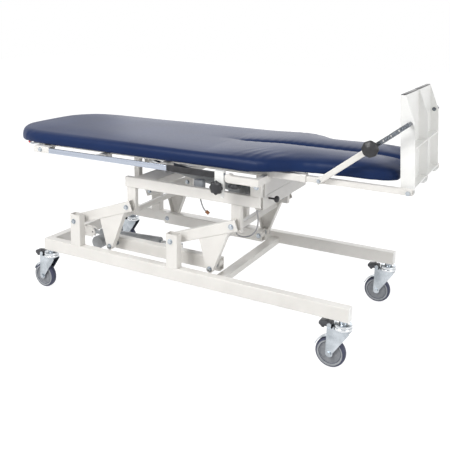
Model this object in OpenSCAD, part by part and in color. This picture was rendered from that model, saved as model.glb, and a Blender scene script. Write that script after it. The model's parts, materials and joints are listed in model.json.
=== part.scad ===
// Physiotherapy tilt table on a wheeled base with a parallelogram lift.
// Lengths run from the head end of the base rails (x = 0) to the foot end,
// y = 0 is the centre line with the near side at -y, and z = 0 is the floor.
// The last section moves the whole table so that its own middle is the origin.

/* [Base frame] */
// Length of the base rails
base_l = 1590; // [1400:10:1800]
// Width over the base rails
base_w = 720; // [660:10:800]
// Width of a base rail tube
rail_tube_w = 40; // [30:1:50]
// Height of a base rail tube
rail_tube_h = 60; // [50:1:70]
// Wall of the welded steel tubes
wall = 3; // [2:0.5:4]
// Outer corner radius of the steel tubes
tube_r = 4; // [3.5:0.5:6]
// Distance of the foot-side cross tube from the head end
foot_cross_x = 944; // [920:2:1100]
// Width of the foot-side cross tube
foot_cross_w = 50; // [30:1:60]
// Height of the foot-side cross tube
foot_cross_h = 30; // [20:1:32]
// Length of a lift post along the rail
post_l = 60; // [50:1:70]
// Height of a lift post above its rail
post_h = 156; // [140:1:180]
// Distance from the head end to the first lift post
post_x = 177; // [160:1:200]
// Depth of a tube end cap's plug
cap_plug = 12; // [6:1:20]
// Thickness of a tube end cap
cap_t = 3; // [2:0.5:5]

/* [Casters] */
// Height from the floor to the underside of the rails
caster_h = 206; // [196:1:216]
// Wheel diameter
wheel_d = 125; // [110:1:130]
// Wheel width
wheel_w = 32; // [26:1:36]
// Tyre thickness
tyre_t = 17; // [12:1:22]
// Distance of the wheel axle behind the swivel axis
trail = 47; // [40:1:50]
// Distance of the swivel axis from the rail's end
caster_inset = 28; // [24:1:34]
// Diameter of the swivel head
swivel_d = 68; // [60:1:74]
// Height of the swivel head
swivel_h = 24; // [18:1:28]
// Wheel axle diameter
axle_d = 12; // [10:1:14]
// King pin diameter
king_d = 14; // [12:1:18]
// Thickness of the fork's sheet
fork_t = 4; // [3:0.5:5]
// Brake pedal width
pedal_w = 34; // [30:1:36]
// Brake pedal reach behind the swivel axis
pedal_reach = 112; // [108:1:130]

/* [Lift] */
// Distance between the two lift arm pivots on one side
arm_pitch = 561; // [540:1:600]
// Length of a lift arm between its pivots
arm_l = 290; // [270:1:300]
// Angle of the lift arms in the pose shown
arm_angle = 19.6; // [10:0.2:24]
// Height of a lift arm tube
arm_h = 50; // [44:1:56]
// Thickness of a lift arm tube
arm_w = 30; // [26:1:32]
// Tube end past each arm pivot
arm_end = 27; // [25:1:32]
// Distance of the arm's pivot below the post's top
pivot_drop = 34; // [30:1:40]
// Distance of the gusset's lower pivot along the arm
link_back = 119; // [100:1:130]
// Distance of the gusset's lower pivot below the arm
link_drop = 165; // [150:1:175]
// Radius of the gusset's tip
gusset_r = 18; // [16:1:22]
// Link bar height
link_h = 60; // [50:1:60]
// Link bar width
link_w = 40; // [30:1:44]
// Pivot bolt diameter
bolt_d = 12; // [10:1:14]
// Sheet thickness of the gussets
gusset_t = 4; // [3:0.5:6]
// Link bar past each of its pivots
link_end = 18; // [17:0.5:22]

/* [Upper frame] */
// Height of the upper frame's side tubes
upper_h = 50; // [40:1:60]
// Width of the upper frame's side tubes
upper_w = 25; // [20:1:30]
// Height of the upper frame's top face above the lift arms' upper pivots
upper_rise = 140; // [130:1:160]
// Length of the upper frame's side tubes
upper_l = 713; // [700:1:740]
// Leg width along the table
leg_l = 50; // [46:1:56]
// Width of the head cross plate along the table
head_plate_l = 120; // [80:1:140]
// Distance of the tilt pivot above the upper frame
tilt_rise = 43; // [40:1:50]
// Distance of the tilt pivot from the upper frame's foot end
tilt_inset = 22; // [20:1:26]

/* [Top frame and pad] */
// Pad length
pad_l = 2026; // [1960:2:2060]
// Pad width
pad_w = 700; // [660:10:700]
// Distance of the pad's foot end inside the legs' outer faces
pad_foot_in = 30; // [20:1:40]
// Thickness of the pad at its edge
pad_edge = 50; // [40:1:60]
// Extra height of the pad's crown
pad_crown = 16; // [10:1:20]
// Length of the slot between the legs
slot_l = 900; // [700:10:950]
// Width of the slot at the foot end
slot_w = 44; // [30:1:60]
// Depth of the slot at the foot end
slot_depth = 26; // [10:1:32]
// Height of the top frame's tubes
top_tube = 30; // [25:1:32]
// Width over the top frame's side tubes
top_w = 540; // [530:2:560]
// Height of the top frame's underside above the upper frame
top_gap = 99; // [96:1:110]

/* [Side rails] */
// Side rail height
bar_h = 25; // [25:1:28]
// Side rail thickness
bar_t = 10; // [8:1:10]
// Side rail length
bar_l = 980; // [900:1:1000]
// Width over the side rails
bars_w = 720; // [710:2:740]
// Length of the dark sleeve on the side rail
sleeve_l = 254; // [200:1:300]

/* [Foot section] */
// Thickness of a foot plate with its flanges
plate_t = 54; // [48:1:60]
// Height of a foot plate above its pivot
plate_h = 365; // [340:1:400]
// Distance of the foot plates inside the legs' outer faces
plates_in = 37; // [34:1:50]
// Gap between the foot plates
plates_gap = 8; // [6:1:16]
// Lean of the foot plates towards the head
plate_lean = 3.24; // [0:0.2:5]
// Width over the foot section's leg tubes
legs_w = 530; // [526:1:536]
// Length of the fixed leg tubes
leg_tube_l = 154; // [150:1:170]
// Width of a fixed leg tube
leg_tube_w = 28; // [26:1:30]
// Height of a fixed leg tube
leg_tube_h = 30; // [28:1:32]
// Strut tube size
strut_w = 24; // [22:1:26]
// Strut bar width
strut_bar_w = 16; // [14:1:16]
// Strut bar thickness
strut_bar_t = 6; // [4:1:8]
// Pitch of the strut bar's holes
hole_pitch = 35.3; // [30:0.1:38]
// Diameter of the strut bar's holes
hole_d = 8; // [6:0.5:8.5]
// Strut knob diameter
strut_knob_d = 66; // [56:1:70]

/* [Hidden] */
// Radial running fit of pins in their bores
fit = 0.05;
// Clearance between pieces of different bodies
gap = 0.3;
// Hairline between pieces that sit in one another
seat = 0.05;
// Overrun of cutting shapes
over = 1;
$fn = 64;
bead_fn = 32;

// Bolts, all of one size range
head_share = 1.6;
washer_share = 2.1;
nut_share = 0.55;
washer_t = 2;
pin_d = 10;
screw_d = 8;

// Base heights and places
rail_top = caster_h + rail_tube_h;
rail_mid_z = caster_h + rail_tube_h / 2;
rail_in = base_w / 2 - rail_tube_w;
post_z = rail_top + post_h;
pivot_x = post_x + 0.4 * post_l;
pivot_z = post_z - pivot_drop;
caster_y = base_w / 2 - rail_tube_w / 2;
caster_xs = [caster_inset, base_l - caster_inset];
sides = [-1, 1];

// Caster pieces
stem_h = 11;
stem_d = 34;
king_flange_d = 24;
axle_z = wheel_d / 2;
axle_head = 6;
fork_gap = 3;
head_z = caster_h - stem_h - swivel_h;
cheek_y = wheel_w / 2 + fork_gap;
axle_boss_r = 15;
hub_d = wheel_d - 2 * tyre_t;
hub_dish = 4;
tread_r = 6;
pedal_x = 52;
pedal_z = head_z + 9;
pedal_eye_r = 8;
pedal_t = 10;
pedal_drop = 22;
ear_t = 4;
leaf_gap = 4;
leaf_t = 3;
leaf_w = 24;
leaf_span = [100, 160];

// Lift pieces
bush_l = 20;
link_bush_l = 30;
bush_d = 24;
arm_out = rail_in - bush_l;
arm_in = arm_out - arm_w;
link_out = arm_in - link_bush_l;
link_in = link_out - link_w;
gusset_s = [link_back - 7, arm_l - 24];
arm_cross_back = 79;
arm_cross_s = gusset_s[1] - arm_cross_back;
arm_cross_l = 50;
arm_cross_t = 25;
hollow_n = -arm_h / 2 - arm_cross_t - 2 * gusset_t;
hollow_cut = (arm_cross_t + 2 * gusset_t) * (gusset_s[1] - link_back - gusset_r) / (link_drop - arm_h / 2)
    + 2 * gusset_t;
upper_x = pivot_x + arm_l * cos(arm_angle);
upper_z = pivot_z + arm_l * sin(arm_angle);
link_x = pivot_x + link_back * cos(arm_angle) + link_drop * sin(arm_angle);
link_z = pivot_z + link_back * sin(arm_angle) - link_drop * cos(arm_angle);

// Lift actuator, hinged behind and reaching a slotted lug on the near link bar
lift_y = -92;
lift_tail_back = 56;
lift_tail_x = rail_tube_w + lift_tail_back;
lift_tail_z = caster_h + 32;
lift_eye_x = 640;
lift_eye_z = link_z - 10;
lift_angle = atan2(lift_eye_z - lift_tail_z, lift_eye_x - lift_tail_x);
lift_reach = norm([lift_eye_x - lift_tail_x, lift_eye_z - lift_tail_z]);
lift_tube_d = 50;
lift_tube_l = 280;
lift_motor_end = -link_in + 2 * washer_t - lift_y;
lift_rod_d = 22;
lift_rod_in = 110;
lift_motor_d = 66;
lift_motor_s = 107;
lift_box_l = 84;
lift_box_h = 62;
lift_box_w = 58;
eye_r = 14;
eye_w = 18;
lug_t = 8;
lift_lug_y = lift_y - 28;
// Play of the rod's pin in the lug: centre and half size of the slot
slot_mid = [9.5, -3.7];
slot_half = [11, 6];

// Upper frame
leg_side = 18;
leg_drop = 32;
upper_top = upper_z + upper_rise;
upper_low = upper_top - upper_h;
upper_head_x = upper_x - leg_side - 9;
upper_foot_x = upper_head_x + upper_l;
upper_out = arm_in - washer_t;
upper_in = upper_out - upper_w;
leg_xs = [upper_x - leg_side, upper_x - leg_side + arm_pitch];
head_plate_x = upper_head_x + 43;
head_plate_h = 40;
stay_w = 30;
stay_y = 200;
foot_tube_w = 40;
foot_tube_h = 62;
foot_tube_z = upper_low - 13;
foot_web_t = 6;
foot_web_z = foot_tube_z + foot_tube_h;
foot_web_h = 66;
foot_web_flange = 22;
upright_l = 52;
upright_h = tilt_rise + 22;
tilt_x = upper_foot_x - tilt_inset;
tilt_z = upper_top + tilt_rise;

upper_mid_y = (upper_in + upper_out) / 2;
switch_x = 836;
switch_l = 46;
switch_t = 28;
switch_h = 38;
switch_z = upper_top - 10;
gland_d = 12;
gland_l = 6;

// Top frame
top_z = upper_top + top_gap;
top_foot_x = 1191;
top_out = top_w / 2;
top_in = top_out - top_tube;
top_mid_z = top_z + top_tube / 2;
hinge_lug_r = 18;
hinge_lug_out = upper_in - washer_t;
hinge_tube_x = tilt_x - top_tube / 2;
mid_tube_x = 840;
web_y = hinge_lug_out - lug_t - washer_t;
pad_z = top_z + top_tube;

// Pad outline: distance, width between the foot end's and the full one, and height, as shares
pad_foot_x = 1716;
pad_head_x = pad_foot_x - pad_l;
pad_foot_w = legs_w - 2 * pad_foot_in;
top_head_x = pad_head_x + 210;
pad_station_share = [[0, -1.087, 0.42], [0.003, -0.87, 0.62], [0.0069, -0.696, 0.78],
    [0.0138, -0.443, 0.89], [0.0247, -0.113, 0.96], [0.0395, 0.252, 0.985], [0.0592, 0.583, 1],
    [0.0839, 0.826, 1], [0.1135, 0.948, 1], [0.1481, 1, 1], [0.385, 1, 1], [0.5154, 1, 1],
    [0.562, 1, 1], [0.59, 1, 1], [0.6272, 1, 1], [0.6738, 1, 1], [0.7111, 1, 1], [0.7344, 0.97, 1],
    [0.7549, 0.86, 1], [0.7736, 0.64, 1], [0.7922, 0.4, 1], [0.8136, 0.25, 1], [0.8416, 0.17, 1],
    [0.8789, 0.12, 1], [0.9254, 0.07, 1], [0.9581, 0.02, 0.98], [0.9767, -0.06, 0.93],
    [0.9907, -0.2, 0.82], [0.9972, -0.33, 0.66], [1, -0.45, 0.42]];
// Pad section from the lower edge to the slot: half width and height as shares
pad_section_share = [[0.9, 0], [0.925, -0.07], [0.955, -0.13], [0.982, -0.08], [0.996, 0.1],
    [1, 0.34], [0.996, 0.52], [0.982, 0.68], [0.955, 0.79], [0.91, 0.87], [0.84, 0.92],
    [0.7, 0.965], [0.45, 0.995]];
// Where the hanging lower lip of the section gets shorter along the pad, and by how much
lip_share = [0.71, 0.05, 1];
// The slot's own section, out from the centre line: shares of its width and of its depth
slot_section_share = [[2.2, 0.03], [1, 0.2], [0.5, 0.72], [0.2, 1]];
slot_taper_share = 0.09;
slot_end_share = 0.015;

// Side rails
bar_out = bars_w / 2;
bar_in = bar_out - bar_t;
bar_mid_y = bar_out - bar_t / 2;
bar_z = top_z - 15;
bar_foot_x = 1034;
bar_x = bar_foot_x - bar_l;
bracket_l = 97;
bracket_h = 32;
bracket_w = 45;
bracket_arm_l = 40;
bracket_arm_h = 24;
bracket_rise = 2;
sleeve_t = 1;
sleeve_x = bar_foot_x - sleeve_l - 35;
hanger_xs = [340, 690];
hanger_l = 34;
end_tube_h = 31;
end_tube_w = 25;
end_tube_z = top_z + 3 - end_tube_h;
end_tube_x = bar_foot_x;

// Accessory clamp and knobs
clamp_x = bar_foot_x - 33;
clamp_l = 32;
clamp_t = 6;
clamp_drop = 80;
clamp_h = 86;
clamp_knob_x = clamp_x + 5;
clamp_tail_l = 12;
knob_screw_l = 16;
knob_t = 20;
clamp_knob_d = 62;
clamp_knob_z = bar_z - 35;
rail_knob_d = 58;
rail_knob_x = end_tube_x + 43;
frame_knob_d = 30;
frame_knob_y = -189;
frame_knob_z = foot_tube_z + 43;
frame_screw_l = 30;
lobes = 8;
lobe_share = 0.16;

// Tilt actuator, hung from the top frame and open at its tail
tilt_y = -150;
tail_back = 65;
tail_x = upper_foot_x - tail_back;
tail_z = upper_top - 25;
tail_play = 15;
tail_hole_r = pin_d / 2 + tail_play;
tail_eye_r = 9;
rod_x = 498;
rod_z = top_z - 34;
tilt_angle = atan2(tail_z - rod_z, tail_x - rod_x);
tilt_reach = norm([tail_x - rod_x, tail_z - rod_z]);
tilt_tube_d = 44;
tilt_tube_l = 360;
tilt_rod_d = 20;
rod_back = 130;
tilt_motor_d = 60;
tilt_motor_l = 84;
tilt_motor_s = 82;
tilt_box_l = 76;
tilt_box_h = 50;
tilt_box_w = 46;
tilt_motor_c = tilt_reach - tilt_motor_s;

// Foot section
leg_out = legs_w / 2;
leg_mid_y = leg_out - leg_tube_w / 2;
leg_tube_z = top_z - 6;
leg_mid_z = leg_tube_z + leg_tube_h / 2;
leg_tube_end = top_foot_x + leg_tube_l;
collar_l = 22;
collar_t = 4;
slide_w = leg_tube_w - 2 * wall - 2 * gap;
slide_h = leg_tube_h - 2 * wall - 2 * gap;
slide_back = 140;
slide_out = leg_mid_y + slide_w / 2;
slide_in = leg_mid_y - slide_w / 2;
plate_gap_x = 47;
plate_x = pad_foot_x + plate_gap_x;
plate_z = leg_mid_z - 3;
plate_out = legs_w / 2 - plates_in;
plate_in = plates_gap / 2;
plate_r = 18;
plate_front = plate_t - plate_r;
board_t = 20;
board_low = 12;
sheet = 4;
taper_z = 258;
rib_z = 160;
strut_l = 342.7;
strut_x = plate_x - strut_l;
strut_z = leg_mid_z + 4;
strut_pin_x = plate_x - 14;
strut_pin_z = plate_z + taper_z;
strut_angle = atan2(strut_pin_z - strut_z, strut_pin_x - strut_x);
strut_reach = norm([strut_pin_x - strut_x, strut_pin_z - strut_z]);
strut_lug_t = 4;
strut_y = slide_out + strut_lug_t + gap + strut_w / 2;
strut_tube_l = 227;
strut_wall = 3;
clamp_block_l = 44;
strut_knob_s = strut_tube_l + 29;
bar_back = 320;
plate_play = 2;

// Routes of the two leads, chosen by hand: offsets from the switch box's gland, from
// the upper frame's foot end and from the foot-side leg
switch_path = [[0, -229, 609], [0, -229, 596], [0, -224, 570], [2, -218, 545],
    [10, -216, 522], [20, -214, 508], [32, -213, 500]];
loop_start = [[-34.2, -232, 562], [-34.2, -232, 548]];
loop_path = [[110.8, -228, 528], [110.8, -224, 506], [106.8, -220, 484], [98.8, -216, 462],
    [84.8, -214, 442], [66.8, -216, 428], [48.8, -226, 424], [32.8, -242, 430],
    [24.8, -255, 441], [24.8, -255, 453]];
switch_route = [for (p = switch_path) [switch_x + p[0], p[1], p[2]]];
loop_route = concat([for (p = loop_start) [upper_foot_x + p[0], p[1], p[2]]],
    [for (p = loop_path) [leg_xs[1] + p[0], p[1], p[2]]]);
lead_d = 6;
lead_sides = 8;

// The table's middle on the floor
near_reach = bar_out - clamp_t + knob_screw_l + knob_t;
far_reach = caster_y + max(swivel_d / 2, cheek_y + fork_t + axle_head);
mid_x = (pad_head_x + plate_x + plate_r) / 2;
mid_y = (far_reach - near_reach) / 2;

module place() translate([-mid_x, -mid_y, 0]) children();

module each_side() for (s = sides) on_side(s) children();

module on_side(s) if (s > 0) children(); else mirror([0, 1, 0]) children();

// Flat sections and straight tubes

module round_rect(w, h, r) {
    square([w - 2 * r, h], center = true);
    square([w, h - 2 * r], center = true);
    for (x = [-1, 1], y = [-1, 1])
        translate([x * (w / 2 - r), y * (h / 2 - r)]) circle(r, $fn = bead_fn);
}

module tube_section(w, h) difference() {
    round_rect(w, h, tube_r);
    round_rect(w - 2 * wall, h - 2 * wall, max(tube_r - wall, tube_r / 4));
}

module along_x(x0, x1) translate([x0, 0, 0]) rotate([90, 0, 90]) linear_extrude(x1 - x0) children();

module along_y(y0, y1) translate([0, y1, 0]) rotate([90, 0, 0]) linear_extrude(y1 - y0) children();

module tube_x(x0, x1, y, z, w, h) translate([0, y, z]) along_x(x0, x1) tube_section(w, h);

module tube_y(y0, y1, x, z, w, h) translate([x, 0, z]) along_y(y0, y1) tube_section(w, h);

module tube_z(z0, z1, x, y, w, h) translate([x, y, z0]) linear_extrude(z1 - z0) tube_section(w, h);

module rod_y(x, z, y0, y1, d) translate([x, y1, z]) rotate([90, 0, 0]) cylinder(d = d, h = y1 - y0);

module rod_x(y, z, x0, x1, d) translate([x0, y, z]) rotate([0, 90, 0]) cylinder(d = d, h = x1 - x0);

module hex_y(x, z, y0, y1, d)
    translate([x, y1, z]) rotate([90, 0, 0]) cylinder(d = d, h = y1 - y0, $fn = 6);

// A bolt along Y from its head's seat at y0 outwards to its nut's seat at y1 inwards
module bolt_y(x, z, y_head, y_nut, d) {
    rod_y(x, z, y_nut - nut_share * d - washer_t, y_head + washer_t, d);
    rod_y(x, z, y_head, y_head + washer_t, washer_share * d);
    hex_y(x, z, y_head + washer_t, y_head + washer_t + nut_share * d, head_share * d);
    rod_y(x, z, y_nut - washer_t, y_nut, washer_share * d);
    hex_y(x, z, y_nut - washer_t - nut_share * d, y_nut - washer_t, head_share * d);
}

module bush_y(x, z, y0, y1, d_out, d_in) difference() {
    rod_y(x, z, y0, y1, d_out);
    rod_y(x, z, y0 - over, y1 + over, d_in);
}

// Star knob with its screw along +Z from z = 0 and its head above screw_l
module star_knob(d, screw_l, screw) {
    cylinder(d = screw, h = screw_l + knob_t / 2);
    translate([0, 0, screw_l]) cylinder(d = d * 0.36, h = knob_t);
    translate([0, 0, screw_l + knob_t * 0.3]) linear_extrude(knob_t * 0.7) star_outline(d);
}

module star_outline(d) {
    circle(d = d * (1 - lobe_share), $fn = bead_fn);
    for (i = [0:lobes - 1]) rotate(i * 360 / lobes)
        translate([d / 2 * (1 - lobe_share), 0]) circle(d / 2 * lobe_share, $fn = bead_fn);
}

// Base frame

module base_rail() tube_x(cap_t, base_l - cap_t, caster_y, rail_mid_z, rail_tube_w, rail_tube_h);

module base_rail_near() color("ivory") place() on_side(-1) base_rail();

module base_rail_far() color("ivory") place() base_rail();

module base_cross_tubes() color("ivory") place() {
    tube_y(-rail_in, rail_in, rail_tube_w / 2, rail_mid_z, rail_tube_w, rail_tube_h);
    tube_y(-rail_in, rail_in, foot_cross_x + foot_cross_w / 2, caster_h + foot_cross_h / 2,
        foot_cross_w, foot_cross_h);
    for (s = sides) lift_ear(s);
}

module lift_ear(s) {
    ear_y = s * (eye_w / 2 + gap + ear_t / 2);
    translate([0, lift_y + ear_y, 0]) difference() {
        along_y(-ear_t / 2, ear_t / 2) {
            translate([rail_tube_w, caster_h + tube_r])
                square([lift_tail_x - rail_tube_w, rail_tube_h - 2 * tube_r]);
            translate([lift_tail_x, lift_tail_z]) circle(eye_r + ear_t);
        }
        rod_y(lift_tail_x, lift_tail_z, -ear_t, ear_t, pin_d);
    }
}

module lift_posts() color("ivory") place()
    each_side() for (x = [post_x, post_x + arm_pitch]) difference() {
        tube_z(rail_top, post_z, x + post_l / 2, caster_y, post_l, rail_tube_w);
        rod_y(x + pivot_x - post_x, pivot_z, rail_in - over, base_w / 2 + over, bolt_d);
    }

module rail_end_caps() color("dimgray") place() each_side() for (x = [0, base_l - cap_t]) {
    translate([0, caster_y, rail_mid_z]) along_x(x, x + cap_t) round_rect(rail_tube_w, rail_tube_h, tube_r);
    plug_x = x == 0 ? cap_t : x - cap_plug;
    translate([0, caster_y, rail_mid_z]) along_x(plug_x, plug_x + cap_plug)
        square([rail_tube_w - 2 * wall - 2 * gap, rail_tube_h - 2 * wall - 2 * gap], center = true);
}

// Casters

module caster_stems() color("ivory") place() each_side() for (x = caster_xs) translate([x, caster_y, 0]) {
    translate([0, 0, caster_h - stem_h + gap]) cylinder(d = stem_d, h = stem_h - gap);
    translate([0, 0, head_z - fork_t - gap - ear_t])
        cylinder(d = king_d, h = caster_h - stem_h / 2 - head_z + fork_t + gap + ear_t);
    translate([0, 0, head_z - fork_t - gap - ear_t]) cylinder(d = king_flange_d, h = ear_t);
}

module cheek_outline() {
    polygon([[-pedal_x - pedal_eye_r, head_z], [swivel_d / 2 - fork_t, head_z],
        [swivel_d / 2 - fork_t, head_z - 3 * fork_t],
        [-trail + axle_boss_r, axle_z + axle_boss_r / 3], [-trail - axle_boss_r, axle_z + axle_boss_r / 3],
        [-pedal_x - pedal_eye_r, head_z - 3 * fork_t]]);
    translate([-trail, axle_z]) circle(axle_boss_r);
}

module caster_fork(i, s) place() translate([caster_xs[i], s * caster_y, 0]) {
    difference() {
        union() {
            translate([0, 0, head_z]) cylinder(d = swivel_d, h = swivel_h);
            translate([-pedal_x - pedal_eye_r, -cheek_y - fork_t, head_z - fork_t])
                cube([pedal_x + pedal_eye_r + swivel_d / 2 - fork_t, 2 * (cheek_y + fork_t), fork_t]);
        }
        translate([0, 0, head_z - fork_t - over])
            cylinder(d = king_d + 2 * fit, h = swivel_h + fork_t + 2 * over);
        translate([0, 0, head_z + swivel_h / 2]) difference() {
            cylinder(d = swivel_d + over, h = leaf_t);
            cylinder(d = swivel_d - 2 * leaf_t, h = leaf_t);
        }
    }
    for (t = sides) {
        translate([0, t * (cheek_y + fork_t / 2), 0]) along_y(-fork_t / 2, fork_t / 2) cheek_outline();
        translate([0, t * (pedal_w / 2 + gap + ear_t / 2), 0]) along_y(-ear_t / 2, ear_t / 2) {
            translate([-pedal_x, pedal_z]) circle(pedal_eye_r + over);
            translate([-pedal_x - pedal_eye_r, head_z - fork_t / 2])
                square([2 * pedal_eye_r, pedal_z - head_z + fork_t / 2]);
        }
    }
    rod_y(-pedal_x, pedal_z, -pedal_w / 2 - gap - ear_t, pedal_w / 2 + gap + ear_t, screw_d);
    rod_y(-trail, axle_z, -cheek_y - fork_t, cheek_y + fork_t, axle_d);
    for (t = sides) hex_y(-trail, axle_z, t > 0 ? cheek_y + fork_t : -cheek_y - fork_t - axle_head,
        t > 0 ? cheek_y + fork_t + axle_head : -cheek_y - fork_t, head_share * axle_d);
    brake_leaf();
}

// A bent leaf over the tread, hung from the fork's plate
module brake_leaf() {
    r = wheel_d / 2 + leaf_gap;
    top_x = -trail + (r + leaf_t / 2) * cos(leaf_span[0]);
    translate([-trail, 0, axle_z]) rotate([90, 0, 0]) linear_extrude(leaf_w, center = true) intersection() {
        difference() {
            circle(r + leaf_t);
            circle(r);
        }
        polygon([[0, 0], for (a = [leaf_span[0] : 20 : leaf_span[1]]) 2 * r * [cos(a), sin(a)]]);
    }
    translate([top_x - leaf_t / 2, -leaf_w / 2, axle_z + r * sin(leaf_span[0])])
        cube([leaf_t, leaf_w, head_z - fork_t / 2 - axle_z - r * sin(leaf_span[0])]);
}

module caster_wheel(i, s) place() translate([caster_xs[i] - trail, s * caster_y, axle_z])
    rotate([90, 0, 0]) {
    difference() {
        cylinder(d = hub_d - 2 * seat, h = wheel_w - 2 * over, center = true);
        cylinder(d = axle_d + 2 * fit, h = wheel_w + over, center = true);
        for (t = sides) translate([0, 0, t * wheel_w / 2]) difference() {
            cylinder(d = hub_d * 0.86, h = 2 * hub_dish, center = true);
            cylinder(d = hub_d * 0.42, h = 3 * hub_dish, center = true);
        }
    }
    rotate_extrude() translate([hub_d / 2 + tyre_t / 2, 0]) round_rect(tyre_t, wheel_w, tread_r);
}

module brake_pedal(i, s) place() translate([caster_xs[i], s * caster_y, 0]) difference() {
    along_y(-pedal_w / 2, pedal_w / 2) {
        translate([-pedal_x, pedal_z]) circle(pedal_eye_r);
        polygon([[-pedal_x, pedal_z - pedal_t / 4], [-pedal_x, pedal_z + pedal_eye_r],
            [-pedal_reach + pedal_t, pedal_z + pedal_eye_r - pedal_drop],
            [-pedal_reach, pedal_z + pedal_eye_r / 2 - pedal_drop],
            [-pedal_reach, pedal_z - pedal_t / 2 - pedal_drop],
            [-pedal_x - 1.5 * pedal_t, pedal_z - 0.8 * pedal_t]]);
    }
    rod_y(-pedal_x, pedal_z, -pedal_w, pedal_w, screw_d + 2 * fit);
}

module caster_fork_head_near() color("silver") caster_fork(0, -1);
module caster_fork_head_far() color("silver") caster_fork(0, 1);
module caster_fork_foot_near() color("silver") caster_fork(1, -1);
module caster_fork_foot_far() color("silver") caster_fork(1, 1);
module caster_wheel_head_near() color("slategray") caster_wheel(0, -1);
module caster_wheel_head_far() color("slategray") caster_wheel(0, 1);
module caster_wheel_foot_near() color("slategray") caster_wheel(1, -1);
module caster_wheel_foot_far() color("slategray") caster_wheel(1, 1);
module brake_pedal_head_near() color("dimgray") brake_pedal(0, -1);
module brake_pedal_head_far() color("dimgray") brake_pedal(0, 1);
module brake_pedal_foot_near() color("dimgray") brake_pedal(1, -1);
module brake_pedal_foot_far() color("dimgray") brake_pedal(1, 1);

// Lift arms: in an arm's own frame x runs along the arm and y (drawn as z) rises from it

module at_arm(dx) translate([pivot_x + dx, 0, pivot_z]) rotate([0, -arm_angle, 0]) children();

module arm_pivot_bolts() color("silver") place() each_side() for (dx = [0, arm_pitch]) {
    bolt_y(pivot_x + dx, pivot_z, base_w / 2, arm_in, bolt_d);
    bush_y(pivot_x + dx, pivot_z, arm_out, rail_in, bush_d, bolt_d + seat);
}

module gusset_outline() polygon([[gusset_s[0], -arm_h / 2], [gusset_s[1], -arm_h / 2],
    [link_back + gusset_r * 0.94, -link_drop - gusset_r * 0.34],
    [link_back - gusset_r * 0.94, -link_drop - gusset_r * 0.34]]);

module arm_solid() difference() {
    union() {
        translate([0, (arm_in + arm_out) / 2, 0]) along_x(-arm_end, arm_l + arm_end)
            tube_section(arm_w - 2 * gap, arm_h);
        for (s = [0, arm_l]) rod_y(s, 0, arm_in + gap, arm_out - gap, bush_d);
        difference() {
            along_y(arm_in + gap, arm_out - gap) {
                gusset_outline();
                translate([link_back, -link_drop]) circle(gusset_r);
            }
            difference() {
                along_y(arm_in - over, arm_out - gap - gusset_t) inset_gusset();
                rod_y(link_back, -link_drop, arm_in, arm_out, 2 * gusset_r);
            }
        }
    }
    for (s = [0, arm_l]) rod_y(s, 0, arm_in, arm_out, bolt_d + 2 * fit);
    rod_y(link_back, -link_drop, arm_in, arm_out, bolt_d);
}

// The gusset's hollow: its outline below the cross tube, drawn in by the sheet on every edge
module inset_gusset() polygon([[gusset_s[0] + gusset_t / 2, hollow_n], [gusset_s[1] - hollow_cut, hollow_n],
    [link_back + gusset_r * 0.94 - gusset_t, -link_drop],
    [link_back - gusset_r * 0.94 + gusset_t, -link_drop]]);

module arm_pair(dx) place() each_side() at_arm(dx) arm_solid();

module arm_cross_tube(dx) place() at_arm(dx)
    tube_y(-arm_in - gap, arm_in + gap, arm_cross_s + arm_cross_l / 2, -arm_h / 2 - arm_cross_t / 2,
        arm_cross_l, arm_cross_t);

module link_bolts(dx) place() each_side() {
    bolt_y(link_x + dx, link_z, arm_out - gap, link_in - gap, bolt_d);
    bush_y(link_x + dx, link_z, link_out + gap, arm_in + gap, bush_d, bolt_d + seat);
}

module head_arms() color("ivory") arm_pair(0);
module head_arm_cross_tube() color("ivory") arm_cross_tube(0);
module head_link_bolts() color("silver") link_bolts(0);
module foot_arms() color("ivory") arm_pair(arm_pitch);
module foot_arm_cross_tube() color("ivory") arm_cross_tube(arm_pitch);
module foot_link_bolts() color("silver") link_bolts(arm_pitch);

module link_bar() difference() {
    union() {
        translate([0, (link_in + link_out) / 2, link_z]) along_x(link_x - link_end, link_x + arm_pitch + link_end)
            tube_section(link_w, link_h);
        for (dx = [0, arm_pitch]) rod_y(link_x + dx, link_z, link_in, link_out, 2 * link_end - seat);
    }
    for (dx = [0, arm_pitch]) rod_y(link_x + dx, link_z, link_in - over, link_out + over, bolt_d + 2 * fit);
}

// The near link bar carries the slotted lug that the lift actuator's rod works in
module lift_lug() {
    difference() {
        union() {
            along_y(lift_lug_y - lug_t, lift_lug_y)
                translate([lift_eye_x + slot_mid[0], lift_eye_z + slot_mid[1]])
                    round_rect(4 * slot_half[0] + pin_d, 3 * slot_half[1] + 2 * pin_d, tube_r);
            for (t = sides) along_y(-link_in, lift_lug_y - lug_t / 2)
                translate([lift_eye_x + slot_mid[0] + t * (slot_half[0] + pin_d), lift_eye_z + slot_mid[1]])
                    square([lug_t, 2 * slot_half[1] + pin_d], center = true);
        }
        along_y(lift_lug_y - lug_t - over, lift_lug_y + over)
            translate([lift_eye_x + slot_mid[0], lift_eye_z + slot_mid[1]])
                round_rect(2 * slot_half[0] + pin_d, 2 * slot_half[1] + pin_d, pin_d / 2);
    }
}

module link_bar_near() color("ivory") place() {
    on_side(-1) link_bar();
    lift_lug();
}

module link_bar_far() color("ivory") place() link_bar();

// Lift actuator

module at_lift() translate([lift_tail_x, lift_y, lift_tail_z]) rotate([0, -lift_angle, 0]) children();

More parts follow.
